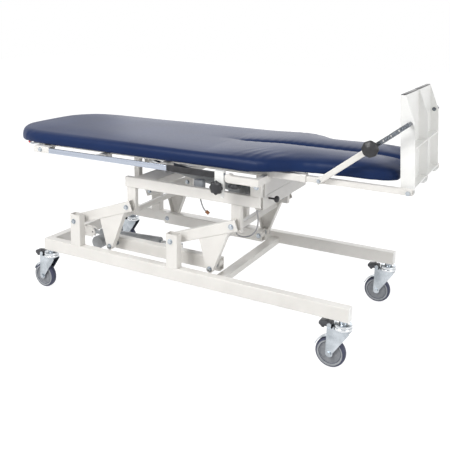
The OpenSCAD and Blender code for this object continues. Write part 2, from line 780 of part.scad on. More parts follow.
module lift_actuator() color("darkgray") place() at_lift() {
    difference() {
        union() {
            rod_y(0, 0, -eye_w / 2, eye_w / 2, 2 * eye_r);
            translate([0, -eye_w / 2, -eye_r / 2]) cube([lift_motor_s - lift_box_l / 2, eye_w, eye_r]);
        }
        rod_y(0, 0, -eye_w, eye_w, pin_d + 2 * fit);
    }
    difference() {
        translate([lift_motor_s, 0, 0]) union() {
            along_y(-lift_box_w / 2, lift_box_w / 2) round_rect(lift_box_l, lift_box_h, 2 * tube_r);
            rod_y(0, -lift_box_h / 4, lift_motor_end, -lift_box_w / 2 + over, lift_motor_d);
            rod_x(0, 0, lift_box_l / 2, lift_box_l / 2 + lift_tube_l, lift_tube_d);
        }
        rod_x(0, 0, lift_motor_s + lift_box_l / 2, lift_motor_s + lift_box_l / 2 + lift_tube_l + over,
            lift_rod_d + 2 * gap);
    }
}

module lift_rod() color("silver") place() at_lift() {
    rod_x(0, 0, lift_motor_s + lift_box_l / 2 + lift_rod_in, lift_reach - eye_r / 2, lift_rod_d);
    rod_y(lift_reach, 0, -eye_w / 2, eye_w / 2, 2 * eye_r);
    rod_y(lift_reach, 0, lift_lug_y - lug_t - gap - 2 * washer_t - lift_y, eye_w / 2, pin_d);
}

// Upper frame

module upper_side_tubes() color("ivory") place() each_side()
    tube_x(upper_head_x, upper_foot_x, upper_mid_y, upper_low + upper_h / 2, upper_w, upper_h);

module upper_legs() color("ivory") place() each_side() {
    for (i = [0, 1]) difference() {
        union() {
            tube_z(upper_z - leg_drop, upper_low, leg_xs[i] + leg_l / 2, upper_mid_y, leg_l, upper_w);
            rod_y(upper_x + i * arm_pitch, upper_z, upper_in, upper_out, bush_d);
        }
        rod_y(upper_x + i * arm_pitch, upper_z, upper_in - over, upper_out + over, bolt_d);
    }
    difference() {
        union() {
            tube_z(upper_top, upper_top + upright_h, upper_foot_x - upright_l / 2, upper_mid_y,
                upright_l, upper_w);
            rod_y(tilt_x, tilt_z, upper_in, upper_out, bush_d);
        }
        rod_y(tilt_x, tilt_z, upper_in - over, upper_out + over, bolt_d);
    }
}

module upper_cross_tubes() color("ivory") place() {
    tube_y(-upper_in, upper_in, head_plate_x + head_plate_l / 2, upper_top - head_plate_h / 2,
        head_plate_l, head_plate_h);
    for (s = sides) tube_z(upper_top - head_plate_h + wall, top_z - 2 * gap,
        head_plate_x - seat - stay_w / 2, s * stay_y, stay_w, stay_w);
    difference() {
        tube_y(-upper_in, upper_in, upper_foot_x - foot_tube_w / 2, foot_tube_z + foot_tube_h / 2,
            foot_tube_w, foot_tube_h);
        rod_x(frame_knob_y, frame_knob_z, upper_foot_x - 2 * wall, upper_foot_x + over, screw_d + 2 * fit);
    }
    translate([upper_foot_x - foot_web_t, -web_y, foot_web_z]) cube([foot_web_t, 2 * web_y, foot_web_h]);
    translate([upper_foot_x - foot_web_flange, -web_y, foot_web_z + foot_web_h - foot_web_t])
        cube([foot_web_flange, 2 * web_y, foot_web_t]);
    for (s = sides) tail_ear(s);
}

// One of the two plates whose wide hole the tilt actuator's tail pin works in
module tail_ear(s) translate([0, tilt_y + s * (eye_w / 2 + gap + ear_t / 2), 0]) difference() {
    along_y(-ear_t / 2, ear_t / 2) {
        translate([tail_x, tail_z]) circle(tail_hole_r + ear_t + wall);
        translate([tail_x, tail_z - tail_hole_r])
            square([upper_foot_x - foot_tube_w - tail_x, 2 * tail_hole_r]);
    }
    rod_y(tail_x, tail_z, -ear_t, ear_t, 2 * tail_hole_r);
}

module upper_pivot_bolts() color("silver") place() each_side() for (dx = [0, arm_pitch]) {
    bolt_y(upper_x + dx, upper_z, arm_out, upper_in, bolt_d);
    bush_y(upper_x + dx, upper_z, upper_out, arm_in, washer_share * bolt_d, bolt_d + seat);
}

module tilt_hinge_bolts() color("silver") place() each_side() {
    bolt_y(tilt_x, tilt_z, upper_out, hinge_lug_out - lug_t - gap, bolt_d);
    bush_y(tilt_x, tilt_z, hinge_lug_out + gap, upper_in, washer_share * bolt_d, bolt_d + seat);
}

module limit_switch_box() color("darkgray") place() {
    translate([switch_x, -upper_in + switch_t / 2, switch_z]) linear_extrude(switch_h)
        round_rect(switch_l, switch_t, washer_t);
    translate([switch_x, -upper_in + switch_t / 2, switch_z - gland_l])
        cylinder(d = gland_d, h = gland_l + over);
}

module frame_knob() color("black") place()
    translate([upper_foot_x, frame_knob_y, frame_knob_z]) rotate([0, 90, 0]) {
        translate([0, 0, -2 * wall]) cylinder(d = screw_d, h = 2 * wall + frame_screw_l);
        translate([0, 0, frame_screw_l]) rotate_extrude() intersection() {
            translate([0, frame_knob_d * 0.1]) scale([1, 0.6]) circle(d = frame_knob_d);
            translate([0, -frame_knob_d / 4]) square(frame_knob_d);
        }
    }

// Tilt actuator: its frame starts at the rod's eye and runs to the tail

module at_tilt() translate([rod_x, tilt_y, rod_z]) rotate([0, -tilt_angle, 0]) children();

module tilt_actuator() color("darkgray") place() at_tilt() {
    rod_y(tilt_reach, 0, -eye_w / 2, eye_w / 2, 2 * tail_eye_r);
    rod_y(tilt_reach, 0, -eye_w / 2 - ear_t - 2 * washer_t, eye_w / 2 + ear_t + 2 * washer_t, pin_d);
    translate([tilt_motor_c, -eye_w / 2, -tail_eye_r * 0.8])
        cube([tilt_motor_s, eye_w, tail_eye_r * 1.6]);
    difference() {
        translate([tilt_motor_c, 0, 0]) union() {
            along_y(-tilt_box_w / 2, tilt_box_w / 2) round_rect(tilt_box_l, tilt_box_h, 2 * tube_r);
            rod_y(0, tilt_box_h / 8, -tilt_motor_l, -tilt_box_w / 2 + over, tilt_motor_d);
            rod_x(0, 0, -tilt_box_l / 2 - tilt_tube_l, -tilt_box_l / 2, tilt_tube_d);
        }
        rod_x(0, 0, tilt_motor_c - tilt_box_l / 2 - tilt_tube_l - over, tilt_motor_c - tilt_box_l / 2,
            tilt_rod_d + 2 * gap);
    }
}

module tilt_rod() color("silver") place() at_tilt() {
    difference() {
        rod_y(0, 0, -eye_w / 2, eye_w / 2, 2 * eye_r);
        rod_y(0, 0, -eye_w, eye_w, pin_d + 2 * fit);
    }
    rod_x(0, 0, eye_r - over, eye_r + washer_t + over, eye_w - washer_t);
    rod_x(0, 0, eye_r + washer_t, tilt_motor_c - tilt_box_l / 2 - rod_back, tilt_rod_d);
}

// Top frame

module top_side_tubes() color("ivory") place() each_side()
    tube_x(top_head_x, top_foot_x, top_out - top_tube / 2, top_mid_z, top_tube, top_tube);

module top_cross_tubes() color("ivory") place() {
    for (x = [top_head_x, rod_x - top_tube / 2, mid_tube_x, hinge_tube_x, top_foot_x - top_tube])
        tube_y(-top_in, top_in, x + top_tube / 2, top_mid_z, top_tube, top_tube);
    for (s = sides) translate([0, tilt_y + s * (eye_w / 2 + gap + ear_t / 2), 0])
        along_y(-ear_t / 2, ear_t / 2) {
            translate([rod_x, rod_z]) circle(eye_r);
            translate([rod_x - eye_r, rod_z]) square([2 * eye_r, top_z - rod_z]);
        }
    rod_y(rod_x, rod_z, tilt_y - eye_w / 2 - ear_t - washer_t, tilt_y + eye_w / 2 + ear_t + washer_t,
        pin_d);
    each_side() difference() {
        along_y(hinge_lug_out - lug_t, hinge_lug_out) {
            translate([tilt_x, tilt_z]) circle(hinge_lug_r);
            translate([hinge_tube_x, tilt_z]) square([top_tube, top_z - tilt_z]);
        }
        rod_y(tilt_x, tilt_z, hinge_lug_out - lug_t - over, hinge_lug_out + over, bolt_d + 2 * fit);
    }
}

// Pad: a loft of closed rings, one for each station of its outline

function ease(t) = let (c = min(max(t, 0), 1)) c * c * (3 - 2 * c);

function slot_at(t) = ease((t - 1 + slot_l / pad_l) / slot_taper_share)
    * (1 - 0.75 * ease((t - 1 + slot_end_share) / slot_end_share));

function lip_at(t) = 1 - lip_share[2] * ease((t - lip_share[0]) / lip_share[1]);

function pad_half(k) = (pad_foot_w + (pad_w - pad_foot_w) * k) / 2;

function pad_ring_half(st) = concat(
    [for (p = pad_section_share) [p[0] * pad_half(st[1]),
        p[1] * (pad_edge + pad_crown) * (p[1] < 0 ? lip_at(st[0]) : st[2])]],
    [for (p = slot_section_share) [p[0] * slot_w / 2,
        (pad_edge + pad_crown) * st[2] - p[1] * slot_depth * slot_at(st[0])]]);

function pad_ring(st) = let (x = pad_head_x + st[0] * pad_l, h = pad_ring_half(st), n = len(h)) concat(
    [for (i = [0:n - 1]) [x, h[i][0], pad_z + h[i][1]]],
    [for (i = [n - 1:-1:0]) [x, -h[i][0], pad_z + h[i][1]]]);

module pad() color("midnightblue") place() {
    rings = [for (st = pad_station_share) pad_ring(st)];
    n = len(rings[0]);
    m = len(rings);
    ends = [for (k = [0, m - 1]) [pad_head_x + pad_station_share[k][0] * pad_l, 0, pad_z + pad_edge / 8]];
    polyhedron(points = concat([for (r = rings) each r], ends), faces = concat(
        [for (k = [0:m - 2]) for (i = [0:n - 1]) let (j = (i + 1) % n) each
            [[k * n + i, (k + 1) * n + i, k * n + j], [k * n + j, (k + 1) * n + i, (k + 1) * n + j]]],
        [for (i = [0:n - 1]) [m * n, i, (i + 1) % n]],
        [for (i = [0:n - 1]) [m * n + 1, (m - 1) * n + (i + 1) % n, (m - 1) * n + i]]));
}

// Side rails

module side_rails() color("lightsteelblue") place() each_side()
    translate([0, bar_mid_y, bar_z + bar_h / 2]) along_x(bar_x, bar_foot_x)
        round_rect(bar_t, bar_h, bar_t / 5);

module rail_sleeve() color("black") place() translate([0, -bar_mid_y, bar_z + bar_h / 2])
    along_x(sleeve_x, sleeve_x + sleeve_l) difference() {
        round_rect(bar_t + 2 * sleeve_t, bar_h + 2 * sleeve_t, bar_t / 4);
        square([bar_t + 2 * seat, bar_h + 2 * seat], center = true);
    }

module rail_brackets() color("ivory") place() each_side() {
    translate([0, bar_out - bracket_w / 2, bar_z + bar_h / 2 + bracket_rise]) {
        along_x(bar_x - bracket_l, bar_x) tube_section(bracket_w, bracket_h);
        along_x(bar_x - bracket_l, bar_x - bracket_l + wall) round_rect(bracket_w, bracket_h, tube_r);
    }
    tube_y(top_out, bar_out - bracket_w, bar_x - bracket_l / 2, top_z + bracket_arm_h / 2,
        bracket_arm_l, bracket_arm_h);
    for (x = hanger_xs) tube_y(top_out, bar_in, x + hanger_l / 2, bar_z + bar_h / 2, hanger_l, bar_h);
    difference() {
        union() {
            along_y(bar_out - end_tube_w, bar_out) end_tube_outline();
            along_y(top_out, bar_out)
                translate([top_foot_x - end_tube_w / 2, end_tube_z + end_tube_h / 2])
                    square([end_tube_w, end_tube_h], center = true);
            translate([top_foot_x - end_tube_w, top_in, end_tube_z])
                cube([end_tube_w, top_tube + tube_r, top_z - end_tube_z]);
        }
        translate([rail_knob_x, bar_out - end_tube_w / 2, end_tube_z - over])
            cylinder(d = pin_d + 2 * fit, h = end_tube_h / 2 + over);
    }
}

module end_tube_outline() translate([end_tube_x, end_tube_z]) {
    r = end_tube_h * 0.6;
    translate([r, 0]) square([top_foot_x - end_tube_x - r, end_tube_h]);
    translate([0, r]) square([2 * r, end_tube_h - r]);
    translate([r, r]) circle(r);
}

// Accessory clamp and the knobs

module accessory_clamp() color("ivory") place() difference() {
    slot = sleeve_t + gap;
    union() {
        translate([clamp_x - clamp_l * 0.3, -bar_out - slot - clamp_t, clamp_knob_z - knob_screw_l])
            cube([clamp_l * 1.3, bar_t + 2 * slot + clamp_t, clamp_h]);
        translate([clamp_x - clamp_l * 0.3, -bar_in + slot - over, bar_z + bar_h / 2])
            cube([clamp_l * 1.3, clamp_t - washer_t + over,
                clamp_knob_z - knob_screw_l + clamp_h - bar_z - bar_h / 2]);
        translate([clamp_x + clamp_l - clamp_tail_l, -bar_out - slot - clamp_t, bar_z - clamp_drop])
            cube([clamp_tail_l, clamp_t * 2, clamp_drop]);
    }
    translate([clamp_x - clamp_l, -bar_out - slot, bar_z - slot])
        cube([3 * clamp_l, bar_t + 2 * slot, bar_h + 2 * slot]);
    rod_y(clamp_knob_x, clamp_knob_z, -bar_out - 2 * clamp_t, -bar_in + 2 * clamp_t, pin_d + 2 * fit);
}

module clamp_knob() color("black") place() translate([clamp_knob_x, -bar_out + clamp_t, clamp_knob_z])
    rotate([90, 0, 0]) star_knob(clamp_knob_d, knob_screw_l, pin_d);

module rail_knob() color("black") place()
    translate([rail_knob_x, -bar_out + end_tube_w / 2, end_tube_z + knob_screw_l - washer_t])
        rotate([180, 0, 0]) star_knob(rail_knob_d, knob_screw_l, pin_d);

// Foot section

module leg_sleeves() color("ivory") place() each_side() {
    tube_x(top_foot_x, leg_tube_end - collar_l / 2, leg_mid_y, leg_mid_z, leg_tube_w, leg_tube_h);
    translate([0, leg_mid_y, leg_mid_z])
        along_x(leg_tube_end - collar_l / 2 + seat, leg_tube_end + collar_l / 2) difference() {
            round_rect(leg_tube_w + collar_t, leg_tube_h + collar_t, tube_r);
            square([slide_w + 2 * gap, slide_h + 2 * gap], center = true);
        }
}

module foot_slide() color("ivory") place() each_side() difference() {
    union() {
        translate([0, leg_mid_y, leg_mid_z]) along_x(leg_tube_end - slide_back, plate_x + plate_r - wall)
            difference() {
                square([slide_w, slide_h], center = true);
                square([slide_w - 2 * wall, slide_h - 2 * wall], center = true);
            }
        rod_y(plate_x, plate_z, slide_in, slide_out, bush_d - 2 * washer_t);
        rod_y(strut_x, strut_z - wall, slide_in, slide_out, 2 * screw_d);
        along_y(slide_out - seat, slide_out + strut_lug_t) {
            translate([strut_x, strut_z]) circle(2 * screw_d);
            translate([strut_x - 2 * screw_d, strut_z - slide_h / 2]) square([4 * screw_d, slide_h / 2]);
        }
    }
    rod_y(plate_x, plate_z, slide_in - over, slide_out + over, bolt_d);
    rod_y(strut_x, strut_z, slide_in - over, slide_out + strut_lug_t + over, screw_d);
}

module foot_plate_bolts() color("silver") place() {
    rod_y(plate_x, plate_z, -slide_out, slide_out, bolt_d);
    each_side() {
        bush_y(plate_x, plate_z, plate_out + gap, slide_in, bush_d, bolt_d + seat);
        hex_y(plate_x, plate_z, slide_out, slide_out + nut_share * bolt_d, head_share * bolt_d);
        rod_y(strut_x, strut_z, slide_in, strut_y + strut_w / 2 + gap + washer_t, screw_d);
        rod_y(strut_x, strut_z, strut_y + strut_w / 2 + gap, strut_y + strut_w / 2 + gap + washer_t,
            washer_share * screw_d);
        hex_y(strut_x, strut_z, strut_y + strut_w / 2 + gap + washer_t,
            strut_y + strut_w / 2 + gap + washer_t + nut_share * screw_d, head_share * screw_d);
    }
}

module plate_flange() {
    polygon([[-plate_front, board_low], [-plate_front, plate_h], [board_t - plate_front, plate_h],
        [plate_t - plate_front, taper_z], [plate_t - plate_front, 0], [-plate_r, 0]]);
    circle(plate_r);
}

module foot_plate() difference() {
    translate([plate_x, 0, plate_z]) rotate([0, -plate_lean, 0]) {
        for (y = [plate_in, plate_out - sheet]) along_y(y, y + sheet) plate_flange();
        translate([-plate_front, plate_in, board_low])
            cube([board_t, plate_out - plate_in, plate_h - board_low]);
        for (z = [board_low, rib_z]) translate([board_t - plate_front - seat, plate_in, z])
            cube([plate_t - board_t + seat, plate_out - plate_in, sheet]);
    }
    rod_y(plate_x, plate_z, plate_in - over, plate_out + over, bolt_d + 2 * fit);
    rod_y(strut_pin_x, strut_pin_z, plate_out - sheet - over, plate_out + over, screw_d + 2 * plate_play);
}

module foot_plate_near() color("white") place() on_side(-1) foot_plate();

module foot_plate_far() color("white") place() foot_plate();

// Struts: their frame starts at the lower pivot and runs up to the pin on the foot plate

module at_strut() translate([strut_x, strut_y, strut_z]) rotate([0, -strut_angle, 0]) children();

module strut_tube() at_strut() difference() {
    union() {
        along_x(-strut_w / 2, strut_tube_l) difference() {
            round_rect(strut_w, strut_w, tube_r);
            square(strut_w - 2 * strut_wall, center = true);
        }
        rod_y(0, 0, -strut_w / 2, strut_w / 2, 2 * screw_d);
        along_x(strut_tube_l - over, strut_tube_l + clamp_block_l) difference() {
            round_rect(strut_w + 2 * washer_t, strut_w + 2 * washer_t, tube_r);
            square([strut_bar_t + 2 * gap, strut_bar_w + 2 * gap], center = true);
        }
    }
    rod_y(0, 0, -strut_w, strut_w, screw_d + 2 * fit);
    rod_y(strut_knob_s, 0, 0, strut_w, screw_d + 2 * fit);
}

module strut_bar() {
    at_strut() difference() {
        along_x(strut_reach - bar_back, strut_reach + strut_bar_w / 2)
            square([strut_bar_t, strut_bar_w], center = true);
        for (k = [1:4]) rod_y(strut_reach - k * hole_pitch, 0, -strut_bar_t, strut_bar_t, hole_d);
    }
    at_strut() {
        rod_y(strut_reach, 0, plate_out - sheet - gap - 2 * washer_t - strut_y, strut_bar_t + washer_t,
            screw_d);
        rod_y(strut_reach, 0, plate_out + gap - strut_y, 0, 2 * screw_d);
        rod_y(strut_reach, 0, plate_out - sheet - gap - washer_t - strut_y,
            plate_out - sheet - gap - strut_y, washer_share * screw_d);
        hex_y(strut_reach, 0, strut_bar_t / 2, strut_bar_t + washer_t, head_share * screw_d);
    }
}

module strut_knob() at_strut() translate([strut_knob_s, strut_bar_t / 2 + 2 * gap, 0]) rotate([-90, 0, 0])
    star_knob(strut_knob_d, strut_w / 2 + washer_t, screw_d);

module strut_tube_near() color("ivory") place() on_side(-1) strut_tube();
module strut_tube_far() color("ivory") place() strut_tube();
module strut_bar_near() color("dimgray") place() on_side(-1) strut_bar();
module strut_bar_far() color("dimgray") place() strut_bar();
module strut_knob_near() color("black") place() on_side(-1) strut_knob();
module strut_knob_far() color("black") place() strut_knob();

// Leads: a tube swept along a smooth curve through the route's points

function curve_point(p, i, t) =
    let (a = p[max(i - 1, 0)], b = p[i], c = p[i + 1], d = p[min(i + 2, len(p) - 1)])
    (2 * b + (c - a) * t + (2 * a - 5 * b + 4 * c - d) * t * t + (3 * b - a - 3 * c + d) * t * t * t) / 2;

function curve(p) = [for (i = [0:len(p) - 2]) each [p[i], curve_point(p, i, 1 / 2)], p[len(p) - 1]];

function unit(v) = v / norm(v);

module lead(route) {
    pts = curve(route);
    m = len(pts);
    n = lead_sides;
    rings = [for (k = [0:m - 1]) let (t = unit(pts[min(k + 1, m - 1)] - pts[max(k - 1, 0)]),
        u = unit(cross(t, [0, 1, 0])), v = cross(t, u))
        [for (i = [0:n - 1]) pts[k] + lead_d / 2 * (cos(i * 360 / n) * u + sin(i * 360 / n) * v)]];
    polyhedron(points = [for (r = rings) each r], faces = concat(
        [for (k = [0:m - 2]) for (i = [0:n - 1]) let (j = (i + 1) % n) each
            [[k * n + i, (k + 1) * n + i, k * n + j], [k * n + j, (k + 1) * n + i, (k + 1) * n + j]]],
        [for (i = [1:n - 2]) [0, i, i + 1]],
        [for (i = [1:n - 2]) [(m - 1) * n, (m - 1) * n + i + 1, (m - 1) * n + i]]));
}

module switch_cable() color("gray") place() lead(switch_route);

module loop_cable() color("gray") place() lead(loop_route);

base_rail_near();
base_rail_far();
base_cross_tubes();
lift_posts();
rail_end_caps();
caster_stems();
caster_fork_head_near();
caster_fork_head_far();
caster_fork_foot_near();
caster_fork_foot_far();
caster_wheel_head_near();
caster_wheel_head_far();
caster_wheel_foot_near();
caster_wheel_foot_far();
brake_pedal_head_near();
brake_pedal_head_far();
brake_pedal_foot_near();
brake_pedal_foot_far();
arm_pivot_bolts();
head_arms();
head_arm_cross_tube();
head_link_bolts();
foot_arms();
foot_arm_cross_tube();
foot_link_bolts();
link_bar_near();
link_bar_far();
lift_actuator();
lift_rod();
upper_side_tubes();
upper_legs();
upper_cross_tubes();
upper_pivot_bolts();
limit_switch_box();
frame_knob();
tilt_actuator();
tilt_rod();
tilt_hinge_bolts();
top_side_tubes();
top_cross_tubes();
pad();
side_rails();
rail_sleeve();
rail_brackets();
accessory_clamp();
clamp_knob();
rail_knob();
leg_sleeves();
foot_slide();
foot_plate_near();
foot_plate_far();
foot_plate_bolts();
strut_tube_near();
strut_tube_far();
strut_bar_near();
strut_bar_far();
strut_knob_near();
strut_knob_far();
switch_cable();
loop_cable();
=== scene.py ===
import json
import math

import bmesh
import bpy
import numpy as np
from mathutils import Matrix, Vector


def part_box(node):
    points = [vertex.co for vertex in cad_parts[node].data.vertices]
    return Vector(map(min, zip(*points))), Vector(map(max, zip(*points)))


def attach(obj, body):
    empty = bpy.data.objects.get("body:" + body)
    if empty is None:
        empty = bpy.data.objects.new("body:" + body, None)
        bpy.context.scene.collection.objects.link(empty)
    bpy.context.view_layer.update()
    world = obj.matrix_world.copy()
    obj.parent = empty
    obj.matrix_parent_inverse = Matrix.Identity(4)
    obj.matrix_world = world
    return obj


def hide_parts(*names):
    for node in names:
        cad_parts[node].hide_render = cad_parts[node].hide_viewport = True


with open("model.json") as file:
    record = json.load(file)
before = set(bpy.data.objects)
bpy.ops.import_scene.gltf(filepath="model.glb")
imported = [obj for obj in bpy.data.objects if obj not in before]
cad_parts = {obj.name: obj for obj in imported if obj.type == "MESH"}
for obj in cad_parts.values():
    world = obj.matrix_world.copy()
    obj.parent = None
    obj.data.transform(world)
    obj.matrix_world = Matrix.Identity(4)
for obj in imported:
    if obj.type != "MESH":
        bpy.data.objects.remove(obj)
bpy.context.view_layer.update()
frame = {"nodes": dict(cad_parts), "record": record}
nodes = frame["nodes"]
scene = bpy.context.scene
print("frame loaded")


# places are in mm: x from the base's head end, y from the table's middle line, z from the floor
casterLook = {"head": 28, "foot": 1562, "side": 340}
sides = {"near": -1, "far": 1}
frameShiftY = 8
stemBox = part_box("caster_stems")
middleX = (casterLook["head"] + casterLook["foot"]) / 2 - 500 * (stemBox[0][0] + stemBox[1][0])
casters = {end + "_" + side: (casterLook[end], sign * casterLook["side"])
           for end in ("head", "foot") for side, sign in sides.items()}


def at(x, y, z):
    return Vector(((x - middleX) / 1000, (y + frameShiftY) / 1000, z / 1000))


def camel(node):
    head, *rest = node.split("_")
    return head + "".join(word.capitalize() for word in rest)


# camera

cameraLook = {"place": (2260.35, -2592.6, 1375.9), "yaw": 28.754, "pitch": 10.0, "roll": 0.515,
              "lens": 50.58, "film": 36, "shiftY": -0.2159, "far": 60}


def setCamera(look):
    data = bpy.data.cameras.new("camera")
    data.lens = look["lens"]
    data.sensor_width = look["film"]
    data.shift_y = look["shiftY"]
    data.clip_end = look["far"]
    camera = bpy.data.objects.new("camera", data)
    scene.collection.objects.link(camera)
    camera.matrix_world = (Matrix.Translation(at(*look["place"]))
                           @ Matrix.Rotation(math.radians(look["yaw"]), 4, "Z")
                           @ Matrix.Rotation(math.radians(90 - look["pitch"]), 4, "X")
                           @ Matrix.Rotation(math.radians(look["roll"]), 4, "Z"))
    scene.camera = camera


setCamera(cameraLook)

# materials


def newMaterial(name):
    material = bpy.data.materials.new(name)
    material.use_nodes = True
    tree = material.node_tree
    tree.nodes.clear()
    out = tree.nodes.new("ShaderNodeOutputMaterial")
    shader = tree.nodes.new("ShaderNodeBsdfPrincipled")
    tree.links.new(shader.outputs[0], out.inputs[0])
    return material, tree, shader


def noiseOn(tree, scale, detail=3.0, coords=None, stretch=None):
    if coords is None:
        coords = tree.nodes.new("ShaderNodeTexCoord").outputs["Object"]
    if stretch:
        mapping = tree.nodes.new("ShaderNodeMapping")
        mapping.inputs["Scale"].default_value = stretch
        tree.links.new(coords, mapping.inputs["Vector"])
        coords = mapping.outputs[0]
    texture = tree.nodes.new("ShaderNodeTexNoise")
    texture.inputs["Scale"].default_value = scale
    texture.inputs["Detail"].default_value = detail
    tree.links.new(coords, texture.inputs["Vector"])
    return texture.outputs["Fac"]


def rampBetween(tree, source, low, high, lowStop=0.35, highStop=0.65):
    ramp = tree.nodes.new("ShaderNodeValToRGB")
    ramp.color_ramp.elements[0].position = lowStop
    ramp.color_ramp.elements[1].position = highStop
    ramp.color_ramp.elements[0].color = (*low, 1)
    ramp.color_ramp.elements[1].color = (*high, 1)
    tree.links.new(source, ramp.inputs[0])
    return ramp.outputs[0]


def spread(tree, source, low, high, lowStop=0.3, highStop=0.7):
    remap = tree.nodes.new("ShaderNodeMapRange")
    remap.inputs["To Min"].default_value = low
    remap.inputs["To Max"].default_value = high
    remap.inputs["From Min"].default_value = lowStop
    remap.inputs["From Max"].default_value = highStop
    tree.links.new(source, remap.inputs["Value"])
    return remap.outputs[0]


def addBump(tree, shader, height, strength, distance):
    bump = tree.nodes.new("ShaderNodeBump")
    bump.inputs["Strength"].default_value = strength
    bump.inputs["Distance"].default_value = distance
    tree.links.new(height, bump.inputs["Height"])
    tree.links.new(bump.outputs[0], shader.inputs["Normal"])


# what a finish has unless its own look says otherwise
commonLook = {"patchDetail": 4.0, "grainDetail": 3.0, "stretch": None, "metallic": 0.0, "coat": 0.0,
              "coatRough": 0.12, "specular": 0.5, "bumpDepth": 0.0004}


def makeFinish(name, ownLook):
    look = {**commonLook, **ownLook}
    material, tree, shader = newMaterial(name)
    patches = noiseOn(tree, look["patchScale"], look["patchDetail"], stretch=look["stretch"])
    tree.links.new(rampBetween(tree, patches, look["dark"], look["light"]), shader.inputs["Base Color"])
    grain = noiseOn(tree, look["grainScale"], look["grainDetail"], stretch=look["stretch"])
    tree.links.new(spread(tree, grain, *look["rough"]), shader.inputs["Roughness"])
    shader.inputs["Metallic"].default_value = look["metallic"]
    shader.inputs["Coat Weight"].default_value = look["coat"]
    shader.inputs["Coat Roughness"].default_value = look["coatRough"]
    shader.inputs["Specular IOR Level"].default_value = look["specular"]
    addBump(tree, shader, grain, look["bump"], look["bumpDepth"])
    return material


finishLook = {
    "creamPaint": {"dark": (0.74, 0.72, 0.685), "light": (0.785, 0.765, 0.73), "patchScale": 9, "grainScale": 420,
                   "rough": (0.30, 0.40), "bump": 0.12, "coat": 0.15},
    "whitePaint": {"dark": (0.83, 0.83, 0.81), "light": (0.88, 0.88, 0.865), "patchScale": 8, "grainScale": 460,
                   "rough": (0.30, 0.42), "bump": 0.12, "coat": 0.12},
    "polishedRail": {"dark": (0.40, 0.44, 0.52), "light": (0.50, 0.54, 0.62), "patchScale": 30, "grainScale": 160,
                     "rough": (0.14, 0.30), "bump": 0.05, "metallic": 1.0, "stretch": (0.05, 1, 8)},
    "zincPlate": {"dark": (0.34, 0.37, 0.40), "light": (0.60, 0.64, 0.68), "patchScale": 14, "grainScale": 500,
                  "rough": (0.16, 0.26), "bump": 0.05, "metallic": 1.0},
    "chromeRod": {"dark": (0.66, 0.68, 0.70), "light": (0.78, 0.80, 0.82), "patchScale": 40, "grainScale": 700,
                  "rough": (0.06, 0.12), "bump": 0.02, "metallic": 1.0},
    "darkSteel": {"dark": (0.015, 0.017, 0.02), "light": (0.30, 0.33, 0.37), "patchScale": 260,
                  "grainScale": 420, "rough": (0.22, 0.45), "bump": 0.35, "metallic": 0.75},
    "housingGrey": {"dark": (0.26, 0.27, 0.28), "light": (0.36, 0.37, 0.38), "patchScale": 16, "grainScale": 520,
                    "rough": (0.38, 0.5), "bump": 0.2},
    "plasticGrey": {"dark": (0.30, 0.32, 0.35), "light": (0.37, 0.39, 0.42), "patchScale": 24, "grainScale": 900,
                    "rough": (0.40, 0.55), "bump": 0.15},
    "darkPlastic": {"dark": (0.03, 0.031, 0.036), "light": (0.06, 0.062, 0.07), "patchScale": 40,
                    "grainScale": 900, "rough": (0.38, 0.52), "bump": 0.2},
    "blackPlastic": {"dark": (0.009, 0.009, 0.011), "light": (0.022, 0.022, 0.026), "patchScale": 40,
                     "grainScale": 1100, "rough": (0.34, 0.46), "bump": 0.25},
    "tyreTread": {"dark": (0.035, 0.04, 0.075), "light": (0.055, 0.06, 0.105), "patchScale": 50, "grainScale": 700,
                  "rough": (0.5, 0.65), "bump": 0.2},
    "tyreSide": {"dark": (0.28, 0.295, 0.31), "light": (0.34, 0.355, 0.37), "patchScale": 50, "grainScale": 700,
                 "rough": (0.45, 0.6), "bump": 0.15},
    "wheelCentre": {"dark": (0.20, 0.21, 0.23), "light": (0.26, 0.27, 0.29), "patchScale": 60, "grainScale": 700,
                    "rough": (0.4, 0.55), "bump": 0.15},
    "cableJacket": {"dark": (0.26, 0.26, 0.27), "light": (0.34, 0.34, 0.35), "patchScale": 60, "grainScale": 900,
                    "rough": (0.45, 0.6), "bump": 0.1},
    "brownClip": {"dark": (0.20, 0.085, 0.035), "light": (0.28, 0.12, 0.05), "patchScale": 90, "grainScale": 900,
                  "rough": (0.4, 0.5), "bump": 0.1},
    "redTip": {"dark": (0.62, 0.01, 0.012), "light": (0.75, 0.02, 0.02), "patchScale": 90, "grainScale": 900,
               "rough": (0.3, 0.4), "bump": 0.1},
}
finish = {name: makeFinish(name, look) for name, look in finishLook.items()}

vinylLook = {"deep": (0.006, 0.018, 0.070), "soft": (0.008, 0.023, 0.084), "rough": (0.34, 0.44),
             "cloudScale": 5, "poreScale": 1500, "poreDepth": 0.12, "grainScale": 500, "creaseScale": 26,
             "creaseDetail": 2.0, "specular": 0.16, "veil": (0.88, 0.92, 1.0), "sheen": 0.02,
             "sheenRough": 0.4, "bump": 0.25, "bumpDepth": 0.0012}


